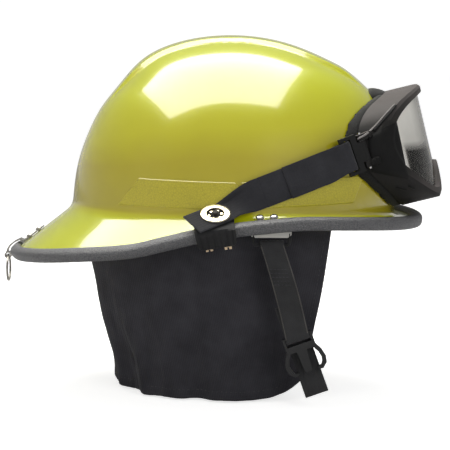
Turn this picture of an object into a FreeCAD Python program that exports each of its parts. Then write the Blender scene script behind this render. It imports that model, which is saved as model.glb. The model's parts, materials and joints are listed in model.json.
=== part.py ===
import FreeCAD, Part
import os
from math import acos, atan, atan2, ceil, copysign, cos, hypot, pi, radians, sin, sqrt, tan

# Brim-style fire helmet with stowed goggles.  Millimetres, +Z up.
# +X points to the front of the helmet, +Y to the wearer's left.
# Origin: on the mid-plane, near the dome's centre in plan, level with the front
# of the line where the dome meets the brim.
# Wherever a side is asked for, -1 is the wearer's right and 1 the left.
# "Out" on the brim is away from the dome, "up" is along the brim's normal.

# ------------------------------------------------------- driving dimensions
CROWN_Z = 152.3          # top of the bare dome
DOME_X = -3.0            # fore-aft centre of the dome's sections
SHELL_T = 3.0            # shell wall
CROWN_BAND_HALF = 27.0   # half-width of the raised crown band
CROWN_BAND_RISE = 2.2    # how far the band stands above the dome
FRONT_REACH = 160.0      # trim's outermost point, front
REAR_REACH = 190.0       # trim's outermost point, rear
SIDE_REACH = 136.0       # trim's outermost point, sides
TRIM_OVER = 4.4          # trim stands this far outside the shell edge
TRIM_HALF = 5.4          # half-height of the trim
LINER_T = 14.0
LINER_GAP = 0.6          # between shell and liner
BAND_X = -20.0           # centre of the headband's rear circle
BAND_R = 78.2            # headband's inner radius at the rear
BAND_FRONT = 119.0       # headband's front semi-axis
STUD_X = -15.0           # goggle strap studs
STUD_Y = 128.5
STUD_Z = 14.6
STRAP_W = 25.0           # goggle strap width
STRAP_T = 1.8
CHIN_W = 19.0            # chin webbing width
CHIN_T = 1.8
CURTAIN_DROP = -141.0    # lowest point of the neck curtain
RING_R = 10.9            # hanging ring, centre-line radius
RING_WIRE = 1.15         # hanging ring, wire radius
RATCHET_Z = 0.0          # height of the ratchet's axis
PINION_TEETH = 10
PINION_R = 5.0           # pitch radius
KNOB_R = 19.0

STATIONS = 96            # grid columns around the helmet
ANGLES = [2 * pi * j / STATIONS for j in range(STATIONS)]
SIDES = (-1, 1)

Vector = FreeCAD.Vector
X_AXIS = (1, 0, 0)
Y_AXIS = (0, 1, 0)
Z_AXIS = (0, 0, 1)
REARWARD = (-1, 0, 0)


# ------------------------------------------------------------ vector helpers
def blend(points, weights):
    """Weighted sum of points."""
    return tuple(sum(w * p[k] for p, w in zip(points, weights)) for k in range(3))


def move(point, direction, distance=1.0):
    return tuple(point[k] + distance * direction[k] for k in range(3))


def minus(a, b):
    return (a[0] - b[0], a[1] - b[1], a[2] - b[2])


def negative(a):
    return (-a[0], -a[1], -a[2])


def dot(a, b):
    return a[0] * b[0] + a[1] * b[1] + a[2] * b[2]


def cross(a, b):
    return (a[1] * b[2] - a[2] * b[1], a[2] * b[0] - a[0] * b[2],
            a[0] * b[1] - a[1] * b[0])


def unit(a):
    length = sqrt(dot(a, a))
    return (a[0] / length, a[1] / length, a[2] / length)


def without(a, axis):
    """The part of a that is square to a unit axis."""
    return move(a, axis, -dot(a, axis))


# ----------------------------------------------------------- number helpers
def mix(a, b, share):
    return a * (1 - share) + b * share


def spread(start, end, count):
    """Even steps from start to end, both included."""
    return [start + (end - start) * i / count for i in range(count + 1)]


def step(x, low, high):
    """Smooth step from 0 at low to 1 at high."""
    t = min(max((x - low) / (high - low), 0.0), 1.0)
    return t * t * (3 - 2 * t)


def front_share(x):
    """0 at the rear and 1 at the front, for x as a fraction of the half-length."""
    return step(x, -0.35, 0.35)


def bisect(low, high, is_low):
    """Where is_low turns from true to false."""
    for _ in range(50):
        middle = 0.5 * (low + high)
        if is_low(middle):
            low = middle
        else:
            high = middle
    return 0.5 * (low + high)


def span(xs, x):
    """x held inside the stations, and the index of the span it falls in."""
    x = min(max(x, xs[0]), xs[-1])
    i = 0
    while i < len(xs) - 2 and x > xs[i + 1]:
        i += 1
    return x, i


def natural(xs, ys):
    """Natural cubic spline through (xs, ys), held constant outside."""
    n = len(xs)
    gap = [xs[i + 1] - xs[i] for i in range(n - 1)]
    diagonal, right = [1.0] * n, [0.0] * n
    for i in range(1, n - 1):
        diagonal[i] = 2 * (gap[i - 1] + gap[i])
        right[i] = 6 * ((ys[i + 1] - ys[i]) / gap[i] - (ys[i] - ys[i - 1]) / gap[i - 1])
        if i > 1:
            ratio = gap[i - 1] / diagonal[i - 1]
            diagonal[i] -= ratio * gap[i - 1]
            right[i] -= ratio * right[i - 1]
    second = [0.0] * n
    for i in range(n - 2, 0, -1):
        second[i] = (right[i] - gap[i] * second[i + 1]) / diagonal[i]

    def curve(x):
        x, i = span(xs, x)
        p, q = (xs[i + 1] - x) / gap[i], (x - xs[i]) / gap[i]
        bend = (p ** 3 - p) * second[i] + (q ** 3 - q) * second[i + 1]
        return p * ys[i] + q * ys[i + 1] + bend * gap[i] ** 2 / 6
    return curve


def monotone(xs, ys):
    """Monotone cubic through (xs, ys), held constant outside."""
    n = len(xs)
    gap = [xs[i + 1] - xs[i] for i in range(n - 1)]
    rise = [(ys[i + 1] - ys[i]) / gap[i] for i in range(n - 1)]
    slope = [rise[0]] + [0.0] * (n - 2) + [rise[-1]]
    for i in range(1, n - 1):
        if rise[i - 1] * rise[i] > 0:
            before, after = 2 * gap[i] + gap[i - 1], gap[i] + 2 * gap[i - 1]
            slope[i] = (before + after) / (before / rise[i - 1] + after / rise[i])

    def curve(x):
        x, i = span(xs, x)
        t = (x - xs[i]) / gap[i]
        return ((2 * t ** 3 - 3 * t * t + 1) * ys[i]
                + (t ** 3 - 2 * t * t + t) * gap[i] * slope[i]
                + (3 * t * t - 2 * t ** 3) * ys[i + 1]
                + (t ** 3 - t * t) * gap[i] * slope[i + 1])
    return curve


def offset_path(path, distance):
    """Open plane path moved to its left, seen along its run."""
    moved = []
    for i, point in enumerate(path):
        before = path[max(i - 1, 0)]
        after = path[min(i + 1, len(path) - 1)]
        run = (after[0] - before[0], after[1] - before[1])
        length = hypot(*run)
        moved.append((point[0] - run[1] / length * distance,
                      point[1] + run[0] / length * distance))
    return moved


# -------------------------------------------------------- smooth free faces
# A cubic face runs close to its grid: inner poles are pulled off the points
# by the local second difference.
def near_poles(before, point, after):
    return blend((before, point, after), (-1 / 6, 4 / 3, -1 / 6))


def open_poles(points, start_slope=None):
    """Cubic poles for an open row of at least four points."""
    start = start_slope or blend(points[:4], (-11 / 6, 3, -1.5, 1 / 3))
    end = blend(points[-4:], (-1 / 3, 1.5, -3, 11 / 6))
    inner = [near_poles(*points[i - 1:i + 2]) for i in range(1, len(points) - 1)]
    return ([points[0], move(points[0], start, 1 / 3)] + inner
            + [move(points[-1], end, -1 / 3), points[-1]])


def ring_poles(points):
    """Cubic poles for a row that closes on itself."""
    n = len(points)
    return [near_poles(points[i - 1], points[i], points[(i + 1) % n]) for i in range(n)]


def knots(count, degree, closed):
    """Knot values and their multiplicities."""
    if closed:
        return list(range(count + 1)), [1] * (count + 1)
    spans = count - degree
    return list(range(spans + 1)), [degree + 1] + [1] * (spans - 1) + [degree + 1]


def face(grid, across=3, closed=True, along=3, polar=False):
    """Face on a grid of rows.  across is the degree from row to row and along
    the degree within a row.  Rows close on themselves when closed is true;
    polar marks a first row that is one point."""
    rows = grid
    if along == 3:
        rows = [ring_poles(row) if closed else open_poles(row) for row in grid]
    count = len(rows[0])
    if across == 3:
        columns = []
        for j in range(count):
            column = [row[j] for row in rows]
            slope = None
            if polar:
                opposite = rows[1][(j + count // 2) % count]
                slope = (0.5 * (column[1][0] - opposite[0]),
                         0.5 * (column[1][1] - opposite[1]), 0.0)
            columns.append(open_poles(column, slope))
        rows = list(zip(*columns))
    u_knots, u_mults = knots(len(rows), across, False)
    v_knots, v_mults = knots(count, along, closed)
    surface = Part.BSplineSurface()
    surface.buildFromPolesMultsKnots([[Vector(*p) for p in row] for row in rows],
                                     u_mults, v_mults, u_knots, v_knots,
                                     False, closed, across, along)
    return surface.toShape()


def sew(faces):
    """One solid from faces that meet edge to edge."""
    compound = Part.makeCompound(faces)
    compound.sewShape(1e-4)
    if len(compound.Shells) != 1:
        raise RuntimeError("sewn into %d shells" % len(compound.Shells))
    solid = Part.makeSolid(compound.Shells[0])
    if solid.Volume < 0:
        solid.reverse()
    return solid


def slab(top, bottom, across=3):
    """Closed sheet between two open grids of the same size."""
    faces = [face(top, across, False), face(bottom, across, False),
             face([top[0], bottom[0]], 1, False), face([top[-1], bottom[-1]], 1, False)]
    for j in (0, -1):
        faces.append(face([[row[j] for row in top], [row[j] for row in bottom]],
                          1, False, across))
    return sew(faces)


def loop_ring(rows):
    """Closed ring whose cross-section is a polygon, one row per corner."""
    n = len(rows)
    return sew([face([rows[k], rows[(k + 1) % n]], 1) for k in range(n)])


def flat(points):
    """Plane polygon face."""
    return Part.Face(Part.makePolygon([Vector(*p) for p in list(points) + [points[0]]]))


def bar(sections):
    """Open bar through plane polygons."""
    n = len(sections[0])
    faces = [face([[s[k] for s in sections], [s[(k + 1) % n] for s in sections]], 1, False)
             for k in range(n)]
    return sew(faces + [flat(sections[0]), flat(sections[-1])])


# ------------------------------------------------------------- solid helpers
def place(shape, origin, x_dir, y_dir, z_dir):
    """Put a shape built in a local frame at an origin with the given axes."""
    numbers = []
    for k in range(3):
        numbers += [x_dir[k], y_dir[k], z_dir[k], origin[k]]
    placed = shape.copy()
    placed.Placement = FreeCAD.Placement(FreeCAD.Matrix(*(numbers + [0, 0, 0, 1])))
    return placed


def prism(points, z0, z1):
    """XY polygon extruded from z0 to z1."""
    return flat([(x, y, z0) for x, y in points]).extrude(Vector(0, 0, z1 - z0))


def turned(profile):
    """Closed (radius, z) profile turned about the Z axis."""
    return flat([(r, 0, z) for r, z in profile]).revolve(Vector(0, 0, 0), Vector(0, 0, 1), 360)


def box(x0, x1, y0, y1, z0, z1):
    return Part.makeBox(x1 - x0, y1 - y0, z1 - z0, Vector(x0, y0, z0))


def disc(radius, z0, z1):
    return Part.makeCylinder(radius, z1 - z0, Vector(0, 0, z0))


def rod(radius, start, axis, length):
    return Part.makeCylinder(radius, length, Vector(*start), Vector(*axis))


def tube(centre, axis, length, inner, outer):
    start = move(centre, axis, -length / 2)
    return rod(outer, start, axis, length).cut(
        rod(inner, move(centre, axis, -length / 2 - 1), axis, length + 2))


def fuse(first, *rest):
    return first.fuse(list(rest)).removeSplitter()


def flip(shape):
    """Mirror to the other side of the helmet."""
    return shape.mirror(Vector(0, 0, 0), Vector(0, 1, 0))


def group(shapes):
    return Part.makeCompound(shapes)


# --------------------------------------------------------------- dome shape
# Each section of the dome is elliptical.  The tables give, against height,
# the squared semi-axis divided by the depth below the crown.
rear_square = natural([0, 20, 50, 80, 105, 125, 140, 152.3],
                      [120.3, 135.5, 162.5, 191.3, 216.8, 243.2, 305.0, 355.0])
front_square = natural([3, 30, 60, 85, 105, 122, 138, 152.3],
                       [126.2, 168.5, 212.5, 264.5, 307.9, 331.9, 323.2, 355.0])
side_square = natural([0, 30, 60, 85, 105, 122, 138, 152.3],
                      [89.9, 109.6, 133.0, 156.3, 178.8, 203.5, 232.0, 255.0])


def long_square(x, z):
    """Fore-aft value, x measured from the dome's centre."""
    return mix(rear_square(z), front_square(z), front_share(x / 130.0))


def dome_level(point):
    """Zero on the dome, positive outside."""
    x = point[0] - DOME_X
    z = point[2]
    return x * x / long_square(x, z) + point[1] ** 2 / side_square(z) - (CROWN_Z - z)


def dome_slope(point, reach=0.02):
    return tuple((dome_level(move(point, axis, reach)) - dome_level(move(point, axis, -reach)))
                 / (2 * reach) for axis in (X_AXIS, Y_AXIS, Z_AXIS))


def off_dome(point, offset):
    """A point of the dome moved along the outward normal."""
    return move(point, unit(dome_slope(point)), offset)


def dome_distance(point):
    slope = dome_slope(point)
    return dome_level(point) / sqrt(dot(slope, slope))


def dome(angle, z, offset=0.0):
    """Dome point at plan angle and height, moved off along the normal."""
    depth = max(CROWN_Z - z, 0.0)
    length = sqrt(depth * long_square(0, z))
    for _ in range(6):
        length = sqrt(depth * long_square(length * cos(angle), z))
    point = (DOME_X + length * cos(angle), sqrt(depth * side_square(z)) * sin(angle), z)
    if not offset:
        return point
    if depth > 1e-6:
        return off_dome(point, offset)
    return move(point, Z_AXIS, offset)


def dome_grid(count, foot, offset=0.0):
    """Rows from the crown down to the height foot(angle)."""
    return [[dome(angle, CROWN_Z - (CROWN_Z - foot(angle)) * (i / count) ** 2, offset)
             for angle in ANGLES] for i in range(count + 1)]


def dome_side(x, z, side, offset):
    """Point off the dome's side at the foot (x, z)."""
    left = CROWN_Z - z - (x - DOME_X) ** 2 / long_square(x - DOME_X, z)
    return off_dome((x, side * sqrt(max(left, 0.0) * side_square(z)), z), offset)


# ----------------------------------------------------------------- the brim
EDGE_POWER = 2.2         # superellipse power of the edge in plan
FILLET = 7.0             # reach of the fillet between dome and brim

# height of the shell's edge against EDGE_STRETCH times x
EDGE_STRETCH = 1.02
edge_height = monotone([-190, -166, -132, -80, -55, -16, 20, 57, 100, 142, 160],
                       [-28, -25, -21, -15, -8.7, 0.0, 4.6, 7.0, 5.2, 1.6, 0.0])


def root_height(angle):
    """Height of the line where dome and brim meet."""
    x = dome(angle, 8.0)[0]
    return 10.0 - 7.0 * (x / 137.0) ** 2 if x > 0 else 10.0 + (x / 138.0) ** 2


def edge(angle):
    """Middle of the shell's edge, inside the trim."""
    c, s = cos(angle), sin(angle)
    reach = (abs(c) ** EDGE_POWER + abs(s) ** EDGE_POWER) ** (-1 / EDGE_POWER)
    length = mix(REAR_REACH - TRIM_OVER, FRONT_REACH - TRIM_OVER, front_share(c))
    x = length * reach * c
    return (x, (SIDE_REACH - TRIM_OVER) * reach * s, edge_height(x * EDGE_STRETCH))


def edge_angle(x, side):
    """Plan angle whose shell edge lies at the given x."""
    return side * bisect(0.0, pi, lambda angle: edge(angle)[0] > x)


def brim_frame(angle):
    """Shell edge point, then the directions out, up and along the edge."""
    point = edge(angle)
    root = dome(angle, root_height(angle))
    along = unit(minus(edge(angle + 0.01), edge(angle - 0.01)))
    top = point
    for _ in range(4):
        out = unit(minus(top, root))
        up = unit(cross(out, along))
        if up[2] < 0:
            up = negative(up)
        top = move(point, up, SHELL_T / 2)
    return point, unit(without(out, along)), up, along


def on_brim(frame, out, up):
    return move(move(frame[0], frame[1], out), frame[2], up)


def brim_place(shape, frame, out, up):
    """Local x along the edge, z along the brim's normal."""
    return place(shape, on_brim(frame, out, up), frame[3], cross(frame[2], frame[3]), frame[2])


def brim_rod(radius, frame, out, up, length):
    return rod(radius, on_brim(frame, out, up), frame[2], length)


def brim_bar(section, angles):
    """Bar along the edge with an (out, up) section."""
    frames = [brim_frame(angle) for angle in angles]
    return bar([[on_brim(frame, out, up) for out, up in section] for frame in frames])


REAR = brim_frame(pi)
RIVET_OUT = (-25.0, -15.0)       # bracket rivets, on the rear mid-plane
SCREW_X = (20.6, 32.0)           # chin plate screws
SCREW_OUT = -10.0
HOLE_R = 1.6                     # holes for chin plate screws and rivets


def chin_frame(side, x):
    return brim_frame(edge_angle(x, side))


SCREW_FRAMES = [chin_frame(side, x) for side in SIDES for x in SCREW_X]


# -------------------------------------------------------------- outer shell
def fillet_and_brim(angle):
    """Outer surface below the dome: six fillet points, then five brim points."""
    root_z = root_height(angle)
    point, _, up, _ = brim_frame(angle)
    top = move(point, up, SHELL_T / 2)
    root = dome(angle, root_z)
    start = dome(angle, root_z + FILLET)
    end = move(root, unit(minus(top, root)), FILLET)
    fillet = [blend((start, root, end), ((1 - q) ** 2, 2 * q * (1 - q), q * q))
              for q in (0, 0.2, 0.4, 0.6, 0.8, 1.0)]
    return fillet + [blend((end, top), (1 - q, q)) for q in (0, 0.25, 0.5, 0.75, 1.0)]


def offset_rows(rows, distance):
    """Offset a closed grid along its numeric normals."""
    moved = []
    for i, row in enumerate(rows):
        above = rows[max(i - 1, 0)]
        below = rows[min(i + 1, len(rows) - 1)]
        moved.append([])
        for j in range(STATIONS):
            around = minus(row[(j + 1) % STATIONS], row[j - 1])
            normal = unit(cross(around, minus(above[j], below[j])))
            moved[-1].append(move(row[j], normal, distance))
    return moved


def crown_band():
    """Raised strip that follows the dome and dives under it at both ends."""
    def ridge(x, y, offset):
        z = bisect(40.0, CROWN_Z, lambda height: dome_level((x, y, height)) < 0)
        return off_dome((x, y, z), offset)

    def rise(x):
        return CROWN_BAND_RISE - 4.2 * step(abs(x + 2.0), 80.0, 112.0)

    xs = spread(-108.0, 114.0, 40)
    ys = spread(-CROWN_BAND_HALF, CROWN_BAND_HALF, 8)
    return slab([[ridge(x, y, rise(x)) for x in xs] for y in ys],
                [[ridge(x, y, -SHELL_T + 0.6) for x in xs] for y in ys])


def outer_shell():
    def foot(angle):
        return root_height(angle) + FILLET

    outer = dome_grid(22, foot)
    inner = dome_grid(22, foot, -SHELL_T)
    rows = [list(row) for row in zip(*[fillet_and_brim(angle) for angle in ANGLES])]
    fillet, brim = rows[:6], rows[6:]
    # the inner fillet starts exactly on the inner dome's last row
    under = [inner[-1]] + offset_rows(fillet[:-1] + brim, -SHELL_T)[1:]
    shell = sew([face(outer, polar=True), face(fillet), face(brim),
                 face([brim[-1], under[-1]], 1),
                 face(under[5:]), face(under[:6]), face(inner, polar=True)])
    shell = shell.fuse(crown_band()).removeSplitter()
    holes = [brim_rod(HOLE_R, frame, SCREW_OUT, -10.0, 20.0) for frame in SCREW_FRAMES]
    holes += [brim_rod(HOLE_R, REAR, out, -8.0, 16.0) for out in RIVET_OUT]
    return shell.cut(holes)


# --------------------------------------------------------- trim and panels
def brim_trim():
    """Rounded trim with a slot that takes the shell's edge."""
    half_out, power = 5.2, 0.77
    slot_half, slot_floor = SHELL_T / 2 + 0.2, 0.25
    section = []
    for angle in spread(radians(167.0), radians(-167.0), 14):
        c, s = cos(angle), sin(angle)
        section.append((TRIM_OVER - half_out + half_out * copysign(abs(c) ** power, c),
                        TRIM_HALF * copysign(abs(s) ** power, s)))
    section[0] = (section[0][0], slot_half)
    section[-1] = (section[-1][0], -slot_half)
    frames = [brim_frame(angle) for angle in ANGLES]
    outer = [[on_brim(frame, out, up) for frame in frames] for out, up in section]
    low = [on_brim(frame, slot_floor, -slot_half) for frame in frames]
    high = [on_brim(frame, slot_floor, slot_half) for frame in frames]
    return sew([face(outer), face([outer[-1], low], 1), face([low, high], 1),
                face([high, outer[0]], 1)])


# panel corners as (x, z): lower rear, upper rear, upper front, lower front
PANELS = (((-93.6, 18.8), (-75.5, 40.6), (0.1, 38.4), (19.0, 16.8)),
          ((23.6, 18.4), (4.5, 38.4), (104.0, 41.5), (95.0, 19.8)))


def panel(side, corners):
    """Thin sheet on the side of the dome."""
    low_rear, high_rear, high_front, low_front = corners

    def sheet(offset):
        rows = []
        for v in spread(0.0, 1.0, 6):
            rows.append([])
            for u in spread(0.0, 1.0, 12):
                x, z = [mix(mix(low_rear[k], low_front[k], u),
                            mix(high_rear[k], high_front[k], u), v) for k in (0, 1)]
                rows[-1].append(dome_side(x, z, side, offset))
        return rows

    return slab(sheet(0.5), sheet(0.08))


def reflective_panels():
    return group([panel(side, corners) for side in SIDES for corners in PANELS])


def impact_liner():
    def foot(angle):
        return 27.0 - 4.0 * cos(angle)

    offset = SHELL_T + LINER_GAP
    outer = dome_grid(16, foot, -offset)
    inner = dome_grid(16, foot, -offset - LINER_T)
    return sew([face(outer, polar=True), face(inner, polar=True),
                face([outer[-1], inner[-1]], 1)])


# ------------------------------------------------------------- suspension
BAND_T = 1.5
BAND_END = radians(140)          # the headband stops here on both sides
STRAP_ANGLES = (36.0, 90.0, 144.0)   # plan directions of the crown straps
STRAP_OFFSET = 3.4               # crown strap ends, outside the headband curve
CROWN_STRAP_HALF = 9.5           # half-width
CROWN_STRAP_T = 1.2
BEND_Z = 36.0                    # crown straps start to curve inward here


def band_path(angle, offset):
    """Headband curve: rear circle, front half-ellipse; angle from the front."""
    c, s = cos(angle), sin(angle)
    length = BAND_FRONT if c > 0 else BAND_R
    normal = (BAND_R * c, length * s)
    size = hypot(*normal)
    return (BAND_X + length * c + offset * normal[0] / size,
            BAND_R * s + offset * normal[1] / size)


def band_low(angle):
    return -10.0 + 12.0 * step(-abs(angle), -2.1, -0.8)


def band_high(angle):
    return 16.0 + 18.0 * step(-abs(angle), -2.1, -0.8)


def band_strip(inner, outer, raise_low, lower_high, angles):
    """Upright strip between two offsets of the headband curve."""
    sections = []
    for angle in angles:
        a, b = band_path(angle, inner), band_path(angle, outer)
        low, high = band_low(angle) + raise_low, band_high(angle) - lower_high
        sections.append([a + (low,), b + (low,), b + (high,), a + (high,)])
    return bar(sections)


def headband():
    return band_strip(0.0, BAND_T, 0.0, 0.0, spread(-BAND_END, BAND_END, 48))


def brow_pad():
    return band_strip(-3.3, -0.3, 1.5, 2.0, spread(-1.05, 1.05, 20))


def strap_foot(direction):
    """Crown strap end on the left side in a plan direction (degrees) from the
    origin: plan point, height and headband tangent."""
    def before(angle):
        x, y = band_path(angle, STRAP_OFFSET)
        return atan2(y, x) < radians(direction)

    angle = bisect(0.0, pi, before)
    a, b = band_path(angle - 0.01, STRAP_OFFSET), band_path(angle + 0.01, STRAP_OFFSET)
    height = max(band_high(angle) - 15.0, band_low(angle) + 21.5)
    return band_path(angle, STRAP_OFFSET), height, unit((b[0] - a[0], b[1] - a[1], 0.0))


def crown_strap(index):
    """Webbing from the left of the headband over the crown to the right.  The
    right end is found on the left side and mirrored."""
    direction = STRAP_ANGLES[index]
    c, s = cos(radians(direction)), sin(radians(direction))
    top = 118.0 - 1.5 * index
    left, left_z, left_run = strap_foot(direction)
    right, right_z, right_run = strap_foot(180.0 - direction)
    right_run = (right_run[0], -right_run[1], 0.0)

    def rising(radius, foot_z):
        """(distance along the strap's plan line, height) up to the top."""
        points = [(radius, foot_z + (BEND_Z - foot_z) * i / 4) for i in range(4)]
        for i in range(13):
            turn = 0.5 * pi * i / 12
            points.append((radius * cos(turn) ** 0.8,
                           BEND_Z + (top - BEND_Z) * sin(turn) ** 0.8))
        return points

    path = rising(hypot(*left), left_z) + rising(-hypot(*right), right_z)[-2::-1]

    def border(half_width, lift):
        points = []
        for (radius, z), (moved, moved_z) in zip(path, offset_path(path, -lift)):
            run = left_run if radius > 0 else right_run
            share = step(z, 40.0, top)
            width = unit(blend((run, (-s, c, 0.0)), (1 - share, share)))
            points.append((c * moved + width[0] * half_width,
                           s * moved + width[1] * half_width, moved_z))
        return points

    outer, inner = [[border(half, lift) for half in (-CROWN_STRAP_HALF, CROWN_STRAP_HALF)]
                    for lift in (CROWN_STRAP_T / 2, -CROWN_STRAP_T / 2)]
    return slab(outer, inner, 1)


def suspension_clips():
    """A plate outside each crown strap end; local z points outward."""
    outline = [(-12, 0), (12, 0), (12, 9), (8, 14), (-8, 14), (-12, 9)]
    clips = []
    for direction in STRAP_ANGLES:
        (x, y), z, run = strap_foot(direction)
        for side in (1, -1):
            along = (side * run[0], run[1], 0.0)
            clips.append(place(prism(outline, 1.0, 4.0), (x, y * side, z + 1.0),
                               along, Z_AXIS, cross(along, Z_AXIS)))
    return group(clips)


def crown_pad():
    return turned([(0, 98), (30, 98), (37, 100), (38.5, 102.5), (37, 104.5), (28, 106.5),
                   (0, 107)])


# ---------------------------------------------------------------- ratchet
PRESSURE_ANGLE = radians(25)
ADDENDUM = 0.75
DEDENDUM = 0.95
BACKLASH = 0.15
RATCHET_ANGLE = 20               # housing and cover reach, degrees each side
RATCHET_HALF = 14                # their half-height
TAIL_T = 1.4
TAIL_HALF = 9.5                  # half-height of the band tails


def wall(inner, outer, start, end, low, high):
    """Curved wall about the headband's rear centre; angles in degrees from
    the rear, positive to the left."""
    height = high - low
    origin, up = Vector(0, 0, 0), Vector(0, 0, 1)
    shape = Part.makeCylinder(outer, height, origin, up, end - start)
    shape = shape.cut(Part.makeCylinder(inner, height, origin, up, 360))
    shape.rotate(origin, up, 180.0 - end)
    shape.translate(Vector(BAND_X, 0, low))
    return shape


def even_wall(inner, outer, reach, half_height):
    """Wall centred on the ratchet's axis."""
    return wall(inner, outer, -reach, reach, RATCHET_Z - half_height, RATCHET_Z + half_height)


def ratchet_bore(radius, start, length):
    return rod(radius, (BAND_X - start, 0, RATCHET_Z), REARWARD, length)


def ratchet_place(shape):
    """Local z points rearward from the headband's rear centre, x up."""
    return place(shape, (BAND_X, 0, RATCHET_Z), Z_AXIS, Y_AXIS, REARWARD)


def ratchet_housing():
    housing = even_wall(76.5, 84.0, RATCHET_ANGLE, RATCHET_HALF)
    housing = housing.cut(even_wall(79.5, 84.5, RATCHET_ANGLE + 1, 10.5))
    return housing.cut(ratchet_bore(2.05, 75, 10))


def ratchet_cover():
    cover = even_wall(84.1, 86.6, RATCHET_ANGLE, RATCHET_HALF)
    return cover.cut(ratchet_bore(3.06, 80, 12))


def gear_points():
    """Involute outline of the pinion."""
    base = PINION_R * cos(PRESSURE_ANGLE)
    tip, root = PINION_R + ADDENDUM, PINION_R - DEDENDUM

    def involute(radius):
        roll = acos(base / radius)
        return tan(roll) - roll

    half = pi / (2 * PINION_TEETH) - BACKLASH / (2 * PINION_R)
    flank = [(r, half + involute(PINION_R) - involute(r)) for r in spread(base, tip, 6)]
    flank.insert(0, (root, flank[0][1]))
    points = []
    for k in range(PINION_TEETH):
        centre = 2 * pi * k / PINION_TEETH
        points += [(r * cos(centre - a), r * sin(centre - a)) for r, a in flank]
        points += [(r * cos(centre + a), r * sin(centre + a)) for r, a in flank[::-1]]
    return points


def ratchet_pinion():
    """Gear with a shaft to the knob and a stub into the housing."""
    return ratchet_place(fuse(prism(gear_points(), 79.7, 83.9),
                              disc(3.0, 83.6, 94.0), disc(2.0, 77.0, 80.0)))


def ratchet_knob():
    """Fluted knob with a tapered cap, bored for the pinion's shaft."""
    flutes, depth, face_z = 18, 0.9, 95.0
    points = []
    for i in range(flutes * 8):
        angle = 2 * pi * i / (flutes * 8)
        radius = KNOB_R - depth + depth * cos(flutes * angle)
        points.append((radius * cos(angle), radius * sin(angle)))
    cap = Part.makeCone(KNOB_R - 2.2, KNOB_R - 4.2, 1.6, Vector(0, 0, face_z))
    knob = fuse(prism(points, 87.2, face_z), cap)
    return ratchet_place(knob.cut(disc(3.05, 86.4, 94.4)))


def band_tail(inner, rack_on_top):
    """Slotted band end reaching to the left; one edge of the slot is a rack."""
    outer = inner + TAIL_T
    body = (inner, outer, -19, 62, RATCHET_Z - TAIL_HALF, RATCHET_Z + TAIL_HALF)
    root, clear = PINION_R + DEDENDUM, 7.0
    low, high = (clear, root) if rack_on_top else (root, clear)
    tail = wall(*body).cut(wall(inner - 1, outer + 1, -15.5, 15.5,
                                RATCHET_Z - low, RATCHET_Z + high))
    into_slot = -1 if rack_on_top else 1
    pitch = 2 * pi * PINION_R / PINION_TEETH
    foot, buried = -DEDENDUM - 0.02, 0.5
    foot_half, tip_half = [pitch / 4 - BACKLASH / 2 - height * tan(PRESSURE_ANGLE)
                           for height in (foot, ADDENDUM)]
    # tooth outline: (offset along the rack, height over the pitch line)
    outline = [(-foot_half, foot - buried), (foot_half, foot - buried), (foot_half, foot),
               (tip_half, ADDENDUM), (-tip_half, ADDENDUM), (-foot_half, foot)]
    tooth = prism([(x, into_slot * (height - PINION_R)) for x, height in outline],
                  inner, outer)
    teeth = []
    for k in range(-7, 7):
        angle = (k + 0.5) * pitch / (inner + TAIL_T / 2)
        teeth.append(place(tooth, (BAND_X, 0, RATCHET_Z), (sin(angle), cos(angle), 0.0),
                           Z_AXIS, (-cos(angle), sin(angle), 0.0)))
    return tail.fuse(teeth).common(wall(*body)).removeSplitter()


def nape_pad():
    return even_wall(71.5, 76.2, 26, 13)


# ------------------------------------------------------------ neck curtain
CURTAIN_TOP = 12.0
CURTAIN_FRONT = 130.0            # front semi-axis

# rear and side semi-axes against height
curtain_rear = monotone([-141, -110, -82, -37, 0, 10, 22],
                        [97.5, 102.0, 110.0, 119.5, 126.5, 128.0, 128.0])
curtain_side = monotone([-141, -80, -30, 0, 10, 22],
                        [92.0, 98.0, 104.0, 108.0, 108.3, 108.0])


def curtain_point(angle, z, offset):
    c, s = cos(angle), sin(angle)
    length = mix(curtain_rear(z), CURTAIN_FRONT, front_share(c))
    width = curtain_side(z)
    normal = unit((width * c, length * s, 0.0))
    return (DOME_X + length * c + offset * normal[0], width * s + offset * normal[1], z)


def curtain_grid(offset, inset):
    """Rows from top to bottom; the front edge slants back as it falls, the
    lower front corner is rounded and the rear middle is cut a little higher."""
    rows = []
    for v in spread(0.0, 1.0, 16):
        rows.append([])
        for u in spread(-1.0, 1.0, 44):
            corner = max(0.0, (abs(u) - 0.80) / 0.20)
            bottom = CURTAIN_DROP + inset + 26.0 * (1 - sqrt(1 - corner * corner * 0.92))
            bottom += 3.0 * step(-abs(u), -0.35, 0.0)
            z = CURTAIN_TOP + (bottom - CURTAIN_TOP) * v
            front_x = 79.0 + (z - 8.0) * 0.145 - inset
            front_angle = acos((front_x - DOME_X) / CURTAIN_FRONT)
            rows[-1].append(curtain_point(pi + u * (pi - front_angle), z, offset))
    return rows


def neck_curtain():
    return slab(curtain_grid(0.0, 0.0), curtain_grid(-1.6, 0.0))


def curtain_lining():
    return slab(curtain_grid(-1.9, 2.0), curtain_grid(-3.1, 2.0))


def curtain_tape():
    """Hook-and-loop strip that holds the curtain's top edge in the shell."""
    low, high = 13.5, 20.5
    sections = []
    for angle in spread(0.95, 2 * pi - 0.95, 48):
        a, b = [dome(angle, 19.5, -SHELL_T - gap)[:2] for gap in (0.5, 1.7)]
        sections.append([a + (low,), b + (low,), b + (high,), a + (high,)])
    return bar(sections)


# -------------------------------------------------------------- chin plates
BAR_Z = -10.0                    # bar that the chin strap loops round
BAR_Y = 119.0
PLATE_X = (13.0, 44.0)
FLANGE_TOP = -SHELL_T / 2 - 0.5
FLANGE_LOW = FLANGE_TOP - 1.8
NUT_H = 2.3


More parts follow.
